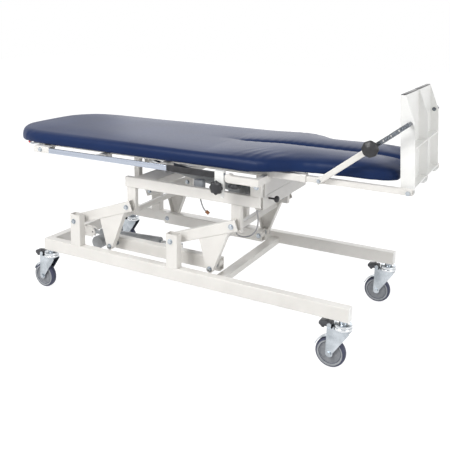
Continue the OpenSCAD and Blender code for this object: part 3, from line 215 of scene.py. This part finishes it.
def makeVinyl(look):
    material, tree, shader = newMaterial("navyVinyl")
    coords = tree.nodes.new("ShaderNodeTexCoord").outputs["Object"]
    pores = tree.nodes.new("ShaderNodeTexVoronoi")
    pores.inputs["Scale"].default_value = look["poreScale"]
    tree.links.new(coords, pores.inputs["Vector"])
    clouds = noiseOn(tree, look["cloudScale"], coords=coords)
    tree.links.new(rampBetween(tree, clouds, look["deep"], look["soft"]), shader.inputs["Base Color"])
    grain = noiseOn(tree, look["grainScale"], coords=coords)
    tree.links.new(spread(tree, grain, *look["rough"]), shader.inputs["Roughness"])
    creases = noiseOn(tree, look["creaseScale"], look["creaseDetail"], coords)
    heights = tree.nodes.new("ShaderNodeMath")
    heights.operation = "MULTIPLY_ADD"
    heights.inputs[1].default_value = look["poreDepth"]
    tree.links.new(pores.outputs["Distance"], heights.inputs[0])
    tree.links.new(creases, heights.inputs[2])
    shader.inputs["Specular IOR Level"].default_value = look["specular"]
    shader.inputs["Specular Tint"].default_value = (*look["veil"], 1)
    shader.inputs["Sheen Weight"].default_value = look["sheen"]
    shader.inputs["Sheen Roughness"].default_value = look["sheenRough"]
    addBump(tree, shader, heights.outputs[0], look["bump"], look["bumpDepth"])
    return material


finish["navyVinyl"] = makeVinyl(vinylLook)
print("materials made")

# mesh helpers

meshLook = {"merge": 0.00003, "spunMerge": 0.00002, "flatAngle": 1.2, "sharpAngle": 38, "shadeAngle": 32,
            "normalWeight": 80}


def finishMesh(work, name, materials, angle=meshLook["shadeAngle"]):
    bmesh.ops.recalc_face_normals(work, faces=work.faces)
    return meshFrom(work, name, materials, angle)


def meshFrom(work, name, materials, angle=meshLook["shadeAngle"]):
    mesh = bpy.data.meshes.new(name)
    work.to_mesh(mesh)
    work.free()
    for key in ("custom_normal", "sharp_face"):
        if key in mesh.attributes:
            mesh.attributes.remove(mesh.attributes[key])
    for material in materials:
        mesh.materials.append(finish[material])
    mesh.polygons.foreach_set("use_smooth", [True] * len(mesh.polygons))
    mesh.set_sharp_from_angle(angle=math.radians(angle))
    return mesh


def addPiece(name, mesh, body, replaced=()):
    piece = bpy.data.objects.new(name, mesh)
    scene.collection.objects.link(piece)
    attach(piece, body)
    if replaced:
        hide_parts(*replaced)
    return piece


def evenShading(piece):
    weighted = piece.modifiers.new("evenShading", "WEIGHTED_NORMAL")
    weighted.keep_sharp = True
    weighted.weight = meshLook["normalWeight"]


def mergedCopy(node):
    work = bmesh.new()
    work.from_mesh(nodes[node].data)
    bmesh.ops.remove_doubles(work, verts=work.verts, dist=meshLook["merge"])
    bmesh.ops.dissolve_limit(work, angle_limit=math.radians(meshLook["flatAngle"]), verts=work.verts,
                             edges=work.edges)
    return work


def roundEdges(work, width, segments=2, angle=meshLook["sharpAngle"]):
    sharp = [e for e in work.edges if len(e.link_faces) == 2 and e.calc_face_angle() > math.radians(angle)]
    bmesh.ops.bevel(work, geom=sharp, offset=width, offset_type="OFFSET", affect="EDGES", segments=segments,
                    profile=0.5, material=-1, clamp_overlap=True)


def spunShape(work, profile, place, axis, steps=48):
    along = Vector(axis).normalized()
    out = along.orthogonal().normalized()
    centre = at(*place)
    points = [work.verts.new(centre + out * (r / 1000) + along * (h / 1000)) for r, h in profile]
    edges = [work.edges.new((a, b)) for a, b in zip(points, points[1:])]
    bmesh.ops.spin(work, geom=points + edges, cent=centre, axis=along, angle=math.tau, steps=steps,
                   use_merge=True)
    bmesh.ops.remove_doubles(work, verts=work.verts, dist=meshLook["spunMerge"])


def spunPiece(name, profile, place, axis, body, material, replaced=(), steps=48):
    work = bmesh.new()
    spunShape(work, profile, place, axis, steps)
    addPiece(name, finishMesh(work, name, [material]), body, replaced)


# pieces kept as their solids, with the edges rounded: the material, and the rounding in mm

dressed = {
    "base_rail_near": ("creamPaint", 0.6), "base_rail_far": ("creamPaint", 0.6),
    "base_cross_tubes": ("creamPaint", 0.6), "lift_posts": ("creamPaint", 0.6),
    "rail_end_caps": ("whitePaint", 0.8), "caster_stems": ("zincPlate", 0.6),
    "arm_pivot_bolts": ("zincPlate", 0.7), "head_arms": ("creamPaint", 0.7),
    "head_arm_cross_tube": ("creamPaint", 0.6), "head_link_bolts": ("zincPlate", 0.7),
    "foot_arms": ("creamPaint", 0.7), "foot_arm_cross_tube": ("creamPaint", 0.6),
    "foot_link_bolts": ("zincPlate", 0.7), "link_bar_near": ("creamPaint", 0.8),
    "link_bar_far": ("creamPaint", 0.8), "upper_side_tubes": ("creamPaint", 0.6),
    "upper_legs": ("creamPaint", 0.6), "upper_cross_tubes": ("creamPaint", 0.6),
    "upper_pivot_bolts": ("zincPlate", 0.7), "tilt_hinge_bolts": ("zincPlate", 0.7),
    "lift_rod": ("chromeRod", 0.8), "tilt_rod": ("chromeRod", 0.8),
    "top_side_tubes": ("creamPaint", 0.6), "top_cross_tubes": ("creamPaint", 0.6),
    # rail_sleeve in black plastic is a painted reflection: it stands in for the dark reflection on the polished
    # rail
    "side_rails": ("polishedRail", 0.6), "rail_sleeve": ("blackPlastic", 0.3),
    "rail_brackets": ("creamPaint", 0.8), "accessory_clamp": ("whitePaint", 1.0),
    "leg_sleeves": ("creamPaint", 0.6), "foot_slide": ("creamPaint", 0.5),
    "foot_plate_bolts": ("zincPlate", 0.6), "strut_tube_near": ("creamPaint", 0.6),
    "strut_tube_far": ("creamPaint", 0.6), "strut_bar_near": ("darkSteel", 0.5),
    "strut_bar_far": ("darkSteel", 0.5), "foot_plate_near": ("whitePaint", 1.0),
    "foot_plate_far": ("whitePaint", 1.0), "limit_switch_box": ("plasticGrey", 1.2),
    "lift_actuator": ("housingGrey", 1.6), "tilt_actuator": ("housingGrey", 1.6),
    "caster_fork_head_near": ("zincPlate", 0.9), "caster_fork_head_far": ("zincPlate", 0.9),
    "caster_fork_foot_near": ("zincPlate", 0.9), "caster_fork_foot_far": ("zincPlate", 0.9),
}
nodeBody = {n: body for body, members in frame["record"]["behaviour"]["bodies"].items() for n in members}

for node, (material, width) in dressed.items():
    work = mergedCopy(node)
    roundEdges(work, width / 1000)
    name = camel(node)
    evenShading(addPiece(name, meshFrom(work, name, [material]), nodeBody[node], [node]))
print("pieces rounded")

# casters: the tyre's side is a lighter grey than its tread

wheelLook = {"radius": 62.5, "trail": 47, "steps": 72, "sideFrom": 46.2, "sideTo": 54.5, "shadeAngle": 50}
treadProfile = [(43.6, 10.2), (44.6, 12.4), (46.4, 13.2), (47.4, 15.2), (53.6, 15.8), (58.2, 14.2), (61.2, 10.4),
                (62.4, 5.0), (62.5, 0.0), (62.4, -5.0), (61.2, -10.4), (58.2, -14.2), (53.6, -15.8),
                (47.4, -15.2), (46.4, -13.2), (44.6, -12.4), (43.6, -10.2)]
centreProfile = [(6.2, 15.0), (12.0, 15.0), (13.4, 13.6), (14.4, 11.6), (40.2, 10.9), (41.0, 12.6), (44.2, 12.6),
                 (44.2, -12.6), (41.0, -12.6), (40.2, -10.9), (14.4, -11.6), (13.4, -13.6), (12.0, -15.0),
                 (6.2, -15.0)]
# two rolled rings round the swivel head, whose profile starts this far below the fork's top
raceDrop = 24
raceFoot = 1000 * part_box("caster_fork_head_near")[1].z - raceDrop
raceProfile = [(30.0, 0.6), (34.6, 0.6), (36.2, 1.8), (36.8, 5.0), (36.2, 8.4), (34.8, 10.0), (33.4, 10.8),
               (33.4, 12.6), (34.4, 13.4), (35.4, 15.0), (35.6, 17.6), (34.6, 20.0), (32.0, 21.8), (24.0, 24.3),
               (18.0, 24.3), (18.0, 20.0), (30.0, 16.0)]


def closed(profile):
    return profile + [profile[0]]


def makeTyre(name, body, place, look):
    work = bmesh.new()
    spunShape(work, closed(treadProfile), place, (0, 1, 0), look["steps"])
    bmesh.ops.recalc_face_normals(work, faces=work.faces)
    centre = at(*place)
    for face in work.faces:
        spot = (face.calc_center_median() - centre) * 1000
        face.material_index = int(look["sideFrom"] <= math.hypot(spot.x, spot.z) <= look["sideTo"])
    mesh = meshFrom(work, name, ["tyreTread", "tyreSide"], look["shadeAngle"])
    addPiece(name, mesh, body, [body])


for key, (x, y) in casters.items():
    axle = (x - wheelLook["trail"], y, wheelLook["radius"])
    makeTyre(camel("tyre_" + key), "caster_wheel_" + key, axle, wheelLook)
    spunPiece(camel("wheel_centre_" + key), closed(centreProfile), axle, (0, 1, 0), "caster_wheel_" + key,
              "wheelCentre", steps=wheelLook["steps"])
    spunPiece(camel("swivel_race_" + key), closed(raceProfile), (x, y, raceFoot), (0, 0, 1),
              "caster_fork_" + key, "chromeRod", steps=wheelLook["steps"])
print("casters made")

# knobs with rounded lobes

knobLook = {"lobes": 8, "lobesFrom": 0.4, "lobesOver": 0.5, "segments": 96, "shadeAngle": 50}
# rings from the shank to the face, as shares of the radius and the height
knobRings = [(0.30, -0.62), (0.34, -0.60), (0.36, -0.2), (0.40, 0.0), (0.72, 0.04), (0.90, 0.12), (0.985, 0.28),
             (1.0, 0.5), (0.985, 0.72), (0.90, 0.90), (0.74, 0.985)]
# rings of the domed face, as shares of the radius and the dome
domeRings = [(0.5, 0.3), (0.25, 0.42), (0.06, 0.45)]


def lobedKnob(name, body, look):
    radius = look["across"] / 2000
    height = look["tall"] / 1000
    rings = knobRings + [(share, 1 + look["dome"] * rise) for share, rise in domeRings]
    work = bmesh.new()
    circle = bmesh.ops.create_circle(work, cap_ends=True, segments=knobLook["segments"], radius=radius)
    angles = {v: math.atan2(v.co.y, v.co.x) for v in circle["verts"]}

    def placeRing(verts, share, level):
        lobed = min(1, max(0, (share - knobLook["lobesFrom"]) / knobLook["lobesOver"]))
        for v in verts:
            dip = (1 - look["waist"]) * lobed * (1 - math.cos(knobLook["lobes"] * angles[v])) / 2
            out = radius * share * (1 - dip)
            v.co = (math.cos(angles[v]) * out, math.sin(angles[v]) * out, level * height)

    placeRing(circle["verts"], *rings[0])
    edges = list(work.edges)
    for ring in rings[1:]:
        grown = bmesh.ops.extrude_edge_only(work, edges=edges)
        fresh = [g for g in grown["geom"] if isinstance(g, bmesh.types.BMVert)]
        edges = [g for g in grown["geom"] if isinstance(g, bmesh.types.BMEdge)]
        angles.update((v, math.atan2(v.co.y, v.co.x)) for v in fresh)
        placeRing(fresh, *ring)
    bmesh.ops.contextual_create(work, geom=edges)
    turn = Vector(look["axis"]).to_track_quat("Z", "Y").to_matrix().to_4x4()
    bmesh.ops.transform(work, matrix=Matrix.Translation(at(*look["place"])) @ turn, verts=work.verts)
    mesh = finishMesh(work, name, ["blackPlastic"], knobLook["shadeAngle"])
    addPiece(name, mesh, body, [body])


# the struts' lower pivot and lean, and where along and how far out their knobs stand
strutLook = {"pivotX": 1420.3, "pivotZ": 737.24, "lean": 37.3686, "along": 256, "out": 295.5}
strutKnobX = strutLook["pivotX"] + strutLook["along"] * math.cos(math.radians(strutLook["lean"]))
strutKnobZ = strutLook["pivotZ"] + strutLook["along"] * math.sin(math.radians(strutLook["lean"]))
for side, sign in sides.items():
    lobedKnob(camel("strut_knob_" + side), "strut_knob_" + side, {
        "place": (strutKnobX, sign * strutLook["out"], strutKnobZ), "axis": (0, sign, 0), "across": 66,
        "tall": 19.5, "dome": 1.0, "waist": 0.95})
lobedKnob("clampKnob", "clamp_knob", {
    "place": (1006, -370.5, 674.3), "axis": (0, -1, 0), "across": 62, "tall": 19, "dome": 0.4, "waist": 0.87})
lobedKnob("railKnob", "rail_knob", {
    "place": (1077, -347.5, 693.5), "axis": (0, 0, -1), "across": 58, "tall": 19, "dome": 0.4, "waist": 0.90})

frameKnobPlace = (1160.2, -189, 605.3)
frameKnobProfile = [(4.0, -6.0), (4.0, 27.0), (6.5, 27.4), (7.2, 29.2), (11.6, 30.2), (14.4, 34.0), (15.0, 38.4),
                    (13.8, 43.0), (10.2, 46.2), (5.0, 47.6), (0.01, 47.9)]
spunPiece("frameKnob", frameKnobProfile, frameKnobPlace, (1, 0, 0), "frame_knob",
          "blackPlastic", ["frame_knob"])
print("knobs made")

# leads

leadLook = {"thick": 6.0, "rounds": 5}
switchRoute = [(836, -229, 609), (836, -229, 596), (836, -224, 570), (838, -218, 545), (846, -216, 522),
               (856, -214, 508), (868, -213, 500)]
loopRoute = [(1126, -232, 562), (1126, -232, 548), (1128, -228, 528), (1128, -224, 506), (1124, -220, 484),
             (1116, -216, 462), (1102, -214, 442), (1084, -216, 428), (1066, -226, 424), (1050, -242, 430),
             (1042, -255, 441), (1042, -255, 453)]


def smoothRoute(points, parts=4):
    spots = [Vector(p) for p in points]
    found = []
    for i in range(len(spots) - 1):
        a, b, c, d = spots[max(i - 1, 0)], spots[i], spots[i + 1], spots[min(i + 2, len(spots) - 1)]
        for k in range(parts):
            t = k / parts
            found.append((2 * b + (c - a) * t + (2 * a - 5 * b + 4 * c - d) * t * t
                          + (3 * b - a - 3 * c + d) * t ** 3) / 2)
    return [at(*p) for p in found + [spots[-1]]]


def curveAlong(name, points, look, material):
    curve = bpy.data.curves.new(name, "CURVE")
    curve.dimensions = "3D"
    curve.bevel_depth = look["thick"] / 2000
    curve.bevel_resolution = look["rounds"]
    curve.use_fill_caps = True
    spline = curve.splines.new("POLY")
    spline.points.add(len(points) - 1)
    for spot, point in zip(points, spline.points):
        point.co = (*spot, 1)
    curve.materials.append(finish[material])
    piece = bpy.data.objects.new(name, curve)
    scene.collection.objects.link(piece)
    return piece


def makeLead(name, node, route):
    points = smoothRoute(route)
    lead = curveAlong(name, points, leadLook, "cableJacket")
    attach(lead, "upper_frame")
    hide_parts(node)


makeLead("switchLead", "switch_cable", switchRoute)
makeLead("loopLead", "loop_cable", loopRoute)
print("leads made")

# foot boards: a black strip along each top edge, painted shade standing in for the shadowed open gap there

gapShadeLook = {"middleX": 1716.4, "z": 1093.6, "deep": 17.0, "thick": 2.6, "from": 6.0, "to": 226.0, "lean": 3.24,
             "round": 0.8}


def makeGapShade(name, body, sign, look):
    long = look["to"] - look["from"]
    work = bmesh.new()
    bmesh.ops.create_cube(work, size=1)
    for v in work.verts:
        v.co = Vector((v.co.x * look["deep"], v.co.y * long, (v.co.z + 0.5) * look["thick"])) / 1000
    roundEdges(work, look["round"] / 1000)
    place = at(look["middleX"], sign * (look["from"] + long / 2), look["z"])
    turn = Matrix.Rotation(-math.radians(look["lean"]), 4, "Y")
    bmesh.ops.transform(work, matrix=Matrix.Translation(place) @ turn, verts=work.verts)
    # the black strip is painted shade for the shadowed gap along the board's top
    addPiece(name, finishMesh(work, name, ["blackPlastic"]), body)


for side, sign in sides.items():
    makeGapShade(camel("board_strip_" + side), "foot_plate_" + side, sign, gapShadeLook)

# brake pedals: a stepped block with a heel

pedalLook = {"back": 52, "z": 180, "half": 15.5, "round": 1.8, "sharpAngle": 20, "shadeAngle": 40}
pedalProfile = [(7, -5), (8, 3), (3, 9), (-8, 11), (-12, 14), (-40, 10), (-45, 5), (-45, -5), (-38, -9), (-32, -16),
                (-24, -17), (-19, -9), (-9, -9), (-2, -8)]


def makePedal(name, body, x, y, look):
    work = bmesh.new()
    ring = [work.verts.new(at(x - look["back"] + px, y - look["half"], look["z"] + pz))
            for px, pz in pedalProfile]
    grown = bmesh.ops.extrude_face_region(work, geom=[work.faces.new(ring)])
    moved = [g for g in grown["geom"] if isinstance(g, bmesh.types.BMVert)]
    bmesh.ops.translate(work, verts=moved, vec=(0, 2 * look["half"] / 1000, 0))
    bmesh.ops.recalc_face_normals(work, faces=work.faces)
    roundEdges(work, look["round"] / 1000, angle=look["sharpAngle"])
    mesh = finishMesh(work, name, ["darkPlastic"], look["shadeAngle"])
    addPiece(name, mesh, body, [body])


for key, (x, y) in casters.items():
    makePedal(camel("brake_pedal_" + key), "brake_pedal_" + key, x, y, pedalLook)
print("pedals made")

# small fittings: the head brackets' bolts, the lever at the head end, and the clip on the switch's lead

boltLook = {"x": -1, "out": 360, "z": 723.4, "corners": 6}
boltHead = [(0.01, 9.0), (8.0, 9.0), (9.2, 8.2), (9.2, 2.2), (9.4, 2.1), (12.0, 2.0), (12.2, 1.8), (12.2, 0.0),
            (0.01, 0.0)]
for side, sign in sides.items():
    spunPiece(camel("bracket_bolt_" + side), boltHead, (boltLook["x"], sign * boltLook["out"], boltLook["z"]),
              (0, sign, 0), "top_frame", "zincPlate", steps=boltLook["corners"])

leverLook = {"thick": 9.0, "rounds": 4, "tipAxis": (-13, 4, 4),
             "route": [(-52, -300, 742), (-76, -314, 741), (-96, -319, 738), (-110, -316, 741)]}
tipProfile = [(0.01, 17), (3.4, 16), (5.4, 13), (6.0, 8), (5.8, 1), (5.0, 0), (0.01, 0)]
lever = curveAlong("backLever", smoothRoute(leverLook["route"]), leverLook, "plasticGrey")
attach(lever, "top_frame")
spunPiece("backLeverTip", tipProfile, leverLook["route"][-1], leverLook["tipAxis"], "top_frame", "redTip")

clipAxis = (0.8, 0.1, -0.6)
clipProfile = [(0.01, -9), (6.6, -9), (7.6, -7.6), (7.6, 7.6), (6.6, 9), (0.01, 9)]
spunPiece("leadClip", clipProfile, switchRoute[-1], clipAxis, "upper_frame", "brownClip")
print("fittings made")

# pad

padLook = {"flat": 0.7545, "shrinkMargin": 0.0025, "shrink": 0.004, "shadeAngle": 80, "voxel": 0.009,
           "startRounds": 3, "heldMargin": 0.003, "slotFrom": 822, "slotHalf": 35, "pressure": 4.0, "quality": 4,
           "frames": 20, "cap": 0.010, "calmRounds": 60, "gain": 1.1, "flatFrom": 0.804, "flatShare": 0.32,
           "legsFrom": 1160, "legsFade": 260}
# folds in the cover beside the legs' narrowing, in mm: where along x and y, how far apart and how deep
foldLook = {"from": 1020, "to": 1330, "fade": 90, "y": 270, "reach": 70, "apart": 46, "lean": 0.55, "sway": 6,
            "swayOver": 31, "height": 0.5}
# puckers along the slot's edges
puckerLook = {"from": 840, "to": 1640, "fade": 60, "y": 34, "reach": 22, "apart": 38, "lean": 0, "sway": 9,
              "swayOver": 47, "height": 0.45}
# both fade in over the rounded edge, from this height on
foldEdge = {"from": 762, "over": 12}


def evaluatedMesh(piece):
    bpy.context.view_layer.update()
    graph = bpy.context.evaluated_depsgraph_get()
    return bpy.data.meshes.new_from_object(piece.evaluated_get(graph))


def applyAll(piece):
    mesh = evaluatedMesh(piece)
    piece.modifiers.clear()
    piece.data = mesh


def pointsOf(mesh):
    flat = np.empty(len(mesh.vertices) * 3)
    mesh.vertices.foreach_get("co", flat)
    return flat.reshape(-1, 3)


def calmed(mesh, values, rounds, share=0.6):
    pairs = np.empty(len(mesh.edges) * 2, dtype=np.int64)
    mesh.edges.foreach_get("vertices", pairs)
    first, second = pairs.reshape(-1, 2).T
    count = len(mesh.vertices)
    degree = np.maximum(np.bincount(first, minlength=count) + np.bincount(second, minlength=count), 1)
    for _ in range(rounds):
        total = np.empty_like(values)
        for k in range(values.shape[1]):
            total[:, k] = (np.bincount(first, values[second, k], count)
                           + np.bincount(second, values[first, k], count))
        values = (1 - share) * values + share * total / degree[:, None]
    return values


def ripples(look, x, y):
    sway = look["lean"] * y + look["sway"] * np.sin(x / look["swayOver"])
    wave = np.sin((x + sway) * math.tau / look["apart"])
    near = np.exp(-((y - look["y"]) / look["reach"]) ** 2)
    ends = np.clip((x - look["from"]) / look["fade"], 0, 1) * np.clip((look["to"] - x) / look["fade"], 0, 1)
    return wave * near * ends * look["height"]


def addFolds(mesh):
    spots = pointsOf(mesh)
    normals = np.empty(len(mesh.vertices) * 3)
    mesh.vertices.foreach_get("normal", normals)
    normals = normals.reshape(-1, 3)
    x = spots[:, 0] * 1000 + middleX
    y = np.abs(spots[:, 1] * 1000 - frameShiftY)
    risen = np.clip((spots[:, 2] * 1000 - foldEdge["from"]) / foldEdge["over"], 0, 1)
    height = (ripples(foldLook, x, y) + ripples(puckerLook, x, y)) * risen / 1000
    mesh.vertices.foreach_set("co", (spots + normals * height[:, None]).ravel())
    mesh.update()


# how far air pressure moves each point of the cover, with the underside and the slot held
def pressedOut(pad, start, look):
    x = start[:, 0] * 1000 + middleX
    y = np.abs(start[:, 1] * 1000 - frameShiftY)
    under = start[:, 2] < look["flat"] + look["heldMargin"]
    slot = (x > look["slotFrom"]) & (y < look["slotHalf"])
    held = pad.vertex_groups.new(name="held")
    held.add([int(i) for i in np.flatnonzero(under | slot)], 1.0, "REPLACE")
    cloth = pad.modifiers.new("inflate", "CLOTH")
    cloth.settings.use_pressure = True
    cloth.settings.uniform_pressure_force = look["pressure"]
    cloth.settings.effector_weights.gravity = 0
    cloth.settings.vertex_group_mass = "held"
    cloth.settings.quality = look["quality"]
    cloth.point_cache.frame_start = 1
    cloth.point_cache.frame_end = look["frames"]
    before = pointsOf(pad.data)
    for f in range(1, look["frames"] + 1):
        scene.frame_set(f)
    steps = pointsOf(evaluatedMesh(pad)) - before
    pad.modifiers.clear()
    size = np.linalg.norm(steps, axis=1)
    print("pad inflated", round(float(size.max()) * 1000, 1))
    return steps * np.minimum(1, look["cap"] / np.maximum(size, 1e-9))[:, None]


def makePad(look):
    work = bmesh.new()
    work.from_mesh(nodes["pad"].data)
    bmesh.ops.remove_doubles(work, verts=work.verts, dist=meshLook["merge"])
    bmesh.ops.recalc_face_normals(work, faces=work.faces)
    work.normal_update()
    for v in work.verts:
        if v.co.z > look["flat"] + look["shrinkMargin"]:
            v.co = v.co - v.normal * look["shrink"]
    pad = bpy.data.objects.new("pad", meshFrom(work, "pad", ["navyVinyl"], look["shadeAngle"]))
    scene.collection.objects.link(pad)
    remesh = pad.modifiers.new("remesh", "REMESH")
    remesh.mode = "VOXEL"
    remesh.voxel_size = look["voxel"]
    applyAll(pad)
    start = calmed(pad.data, pointsOf(pad.data), look["startRounds"])
    print("pad remeshed", len(start))
    start = start + calmed(pad.data, pressedOut(pad, start, look), look["calmRounds"]) * look["gain"]
    # the torso's top is pressed flatter than the legs
    over = np.maximum(start[:, 2] - look["flatFrom"], 0)
    torso = np.clip((look["legsFrom"] - (start[:, 0] * 1000 + middleX)) / look["legsFade"], 0, 1)
    start[:, 2] = start[:, 2] - over * (1 - look["flatShare"]) * torso
    pad.data.vertices.foreach_set("co", start.ravel())
    pad.data.update()
    pad.data.materials.clear()
    pad.data.materials.append(finish["navyVinyl"])
    pad.data.polygons.foreach_set("use_smooth", [True] * len(pad.data.polygons))
    rounding = pad.modifiers.new("rounding", "SUBSURF")
    rounding.levels = 1
    rounding.render_levels = 1
    applyAll(pad)
    addFolds(pad.data)
    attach(pad, "top_frame")
    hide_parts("pad")


makePad(padLook)
print("pad made")

# light and floor


# 1 for the rays that see the background or the floor, straight or mirrored
def seenRays(tree):
    rays = tree.nodes.new("ShaderNodeLightPath")
    total = rays.outputs["Is Camera Ray"]
    for kind in ("Is Glossy Ray", "Is Transmission Ray"):
        add = tree.nodes.new("ShaderNodeMath")
        add.operation = "ADD"
        add.use_clamp = True
        tree.links.new(total, add.inputs[0])
        tree.links.new(rays.outputs[kind], add.inputs[1])
        total = add.outputs[0]
    return total


lightLook = {
    "key": {"place": (-1.2, -3.6, 3.6), "target": (0.0, 0.0, 0.6), "size": 2.4, "power": 175},
    "fill": {"place": (3.8, -1.2, 2.0), "target": (0.0, 0.0, 0.6), "size": 2.6, "power": 46},
    "back": {"place": (-1.6, 4.2, 2.6), "target": (0.0, 0.0, 0.7), "size": 4.0, "power": 50},
}


def addLamp(name, look):
    data = bpy.data.lights.new(name, "AREA")
    data.shape = "SQUARE"
    data.size = look["size"]
    data.energy = look["power"]
    lamp = bpy.data.objects.new(name, data)
    scene.collection.objects.link(lamp)
    place = Vector(look["place"])
    lamp.location = place
    lamp.rotation_euler = (Vector(look["target"]) - place).to_track_quat("-Z", "Y").to_euler()


for name, look in lightLook.items():
    addLamp(name, look)

worldLook = {"top": 0.80, "topStop": 0.9, "side": 0.78, "sideStop": 0.52, "under": 0.50, "underStop": 0.3,
             "strength": 0.72, "behind": 1.4, "front": 0.44}


def makeWorld(look):
    world = bpy.data.worlds.new("studio")
    world.use_nodes = True
    tree = world.node_tree
    tree.nodes.clear()
    out = tree.nodes.new("ShaderNodeOutputWorld")
    soft = tree.nodes.new("ShaderNodeBackground")
    seen = tree.nodes.new("ShaderNodeBackground")
    mix = tree.nodes.new("ShaderNodeMixShader")
    coords = tree.nodes.new("ShaderNodeTexCoord")
    split = tree.nodes.new("ShaderNodeSeparateXYZ")
    ramp = tree.nodes.new("ShaderNodeValToRGB")
    remap = tree.nodes.new("ShaderNodeMapRange")
    depth = tree.nodes.new("ShaderNodeMapRange")
    remap.inputs["From Min"].default_value = -1
    depth.inputs["From Min"].default_value = -1
    depth.inputs["To Min"].default_value = look["strength"] * look["front"]
    depth.inputs["To Max"].default_value = look["strength"] * look["behind"]
    tree.links.new(coords.outputs["Generated"], split.inputs[0])
    tree.links.new(split.outputs["Z"], remap.inputs["Value"])
    tree.links.new(split.outputs["Y"], depth.inputs["Value"])
    tree.links.new(remap.outputs[0], ramp.inputs[0])
    stops = ramp.color_ramp.elements
    stops[0].position, stops[0].color = look["underStop"], (look["under"],) * 3 + (1,)
    stops[1].position, stops[1].color = look["topStop"], (look["top"],) * 3 + (1,)
    middle = stops.new(look["sideStop"])
    middle.color = (look["side"],) * 3 + (1,)
    seen.inputs["Color"].default_value = (1, 1, 1, 1)
    tree.links.new(depth.outputs[0], soft.inputs["Strength"])
    tree.links.new(ramp.outputs[0], soft.inputs["Color"])
    tree.links.new(seenRays(tree), mix.inputs[0])
    tree.links.new(soft.outputs[0], mix.inputs[1])
    tree.links.new(seen.outputs[0], mix.inputs[2])
    tree.links.new(mix.outputs[0], out.inputs[0])
    scene.world = world


makeWorld(worldLook)


floorLook = {"half": 14, "bounce": 0.8, "shade": 0.28, "glow": 0.88}


def makeFloor(look):
    work = bmesh.new()
    bmesh.ops.create_grid(work, x_segments=2, y_segments=2, size=look["half"])
    mesh = bpy.data.meshes.new("floor")
    work.to_mesh(mesh)
    work.free()
    floor = bpy.data.objects.new("floor", mesh)
    scene.collection.objects.link(floor)
    material = bpy.data.materials.new("paleFloor")
    material.use_nodes = True
    tree = material.node_tree
    tree.nodes.clear()
    out = tree.nodes.new("ShaderNodeOutputMaterial")
    bounce = tree.nodes.new("ShaderNodeBsdfDiffuse")
    bounce.inputs["Color"].default_value = (look["bounce"],) * 3 + (1,)
    shade = tree.nodes.new("ShaderNodeBsdfDiffuse")
    shade.inputs["Color"].default_value = (look["shade"],) * 3 + (1,)
    glow = tree.nodes.new("ShaderNodeEmission")
    glow.inputs["Strength"].default_value = look["glow"]
    both = tree.nodes.new("ShaderNodeAddShader")
    pick = tree.nodes.new("ShaderNodeMixShader")
    tree.links.new(shade.outputs[0], both.inputs[0])
    tree.links.new(glow.outputs[0], both.inputs[1])
    tree.links.new(seenRays(tree), pick.inputs[0])
    tree.links.new(bounce.outputs[0], pick.inputs[1])
    tree.links.new(both.outputs[0], pick.inputs[2])
    tree.links.new(pick.outputs[0], out.inputs[0])
    mesh.materials.append(material)


makeFloor(floorLook)

scene.view_settings.view_transform = "Standard"
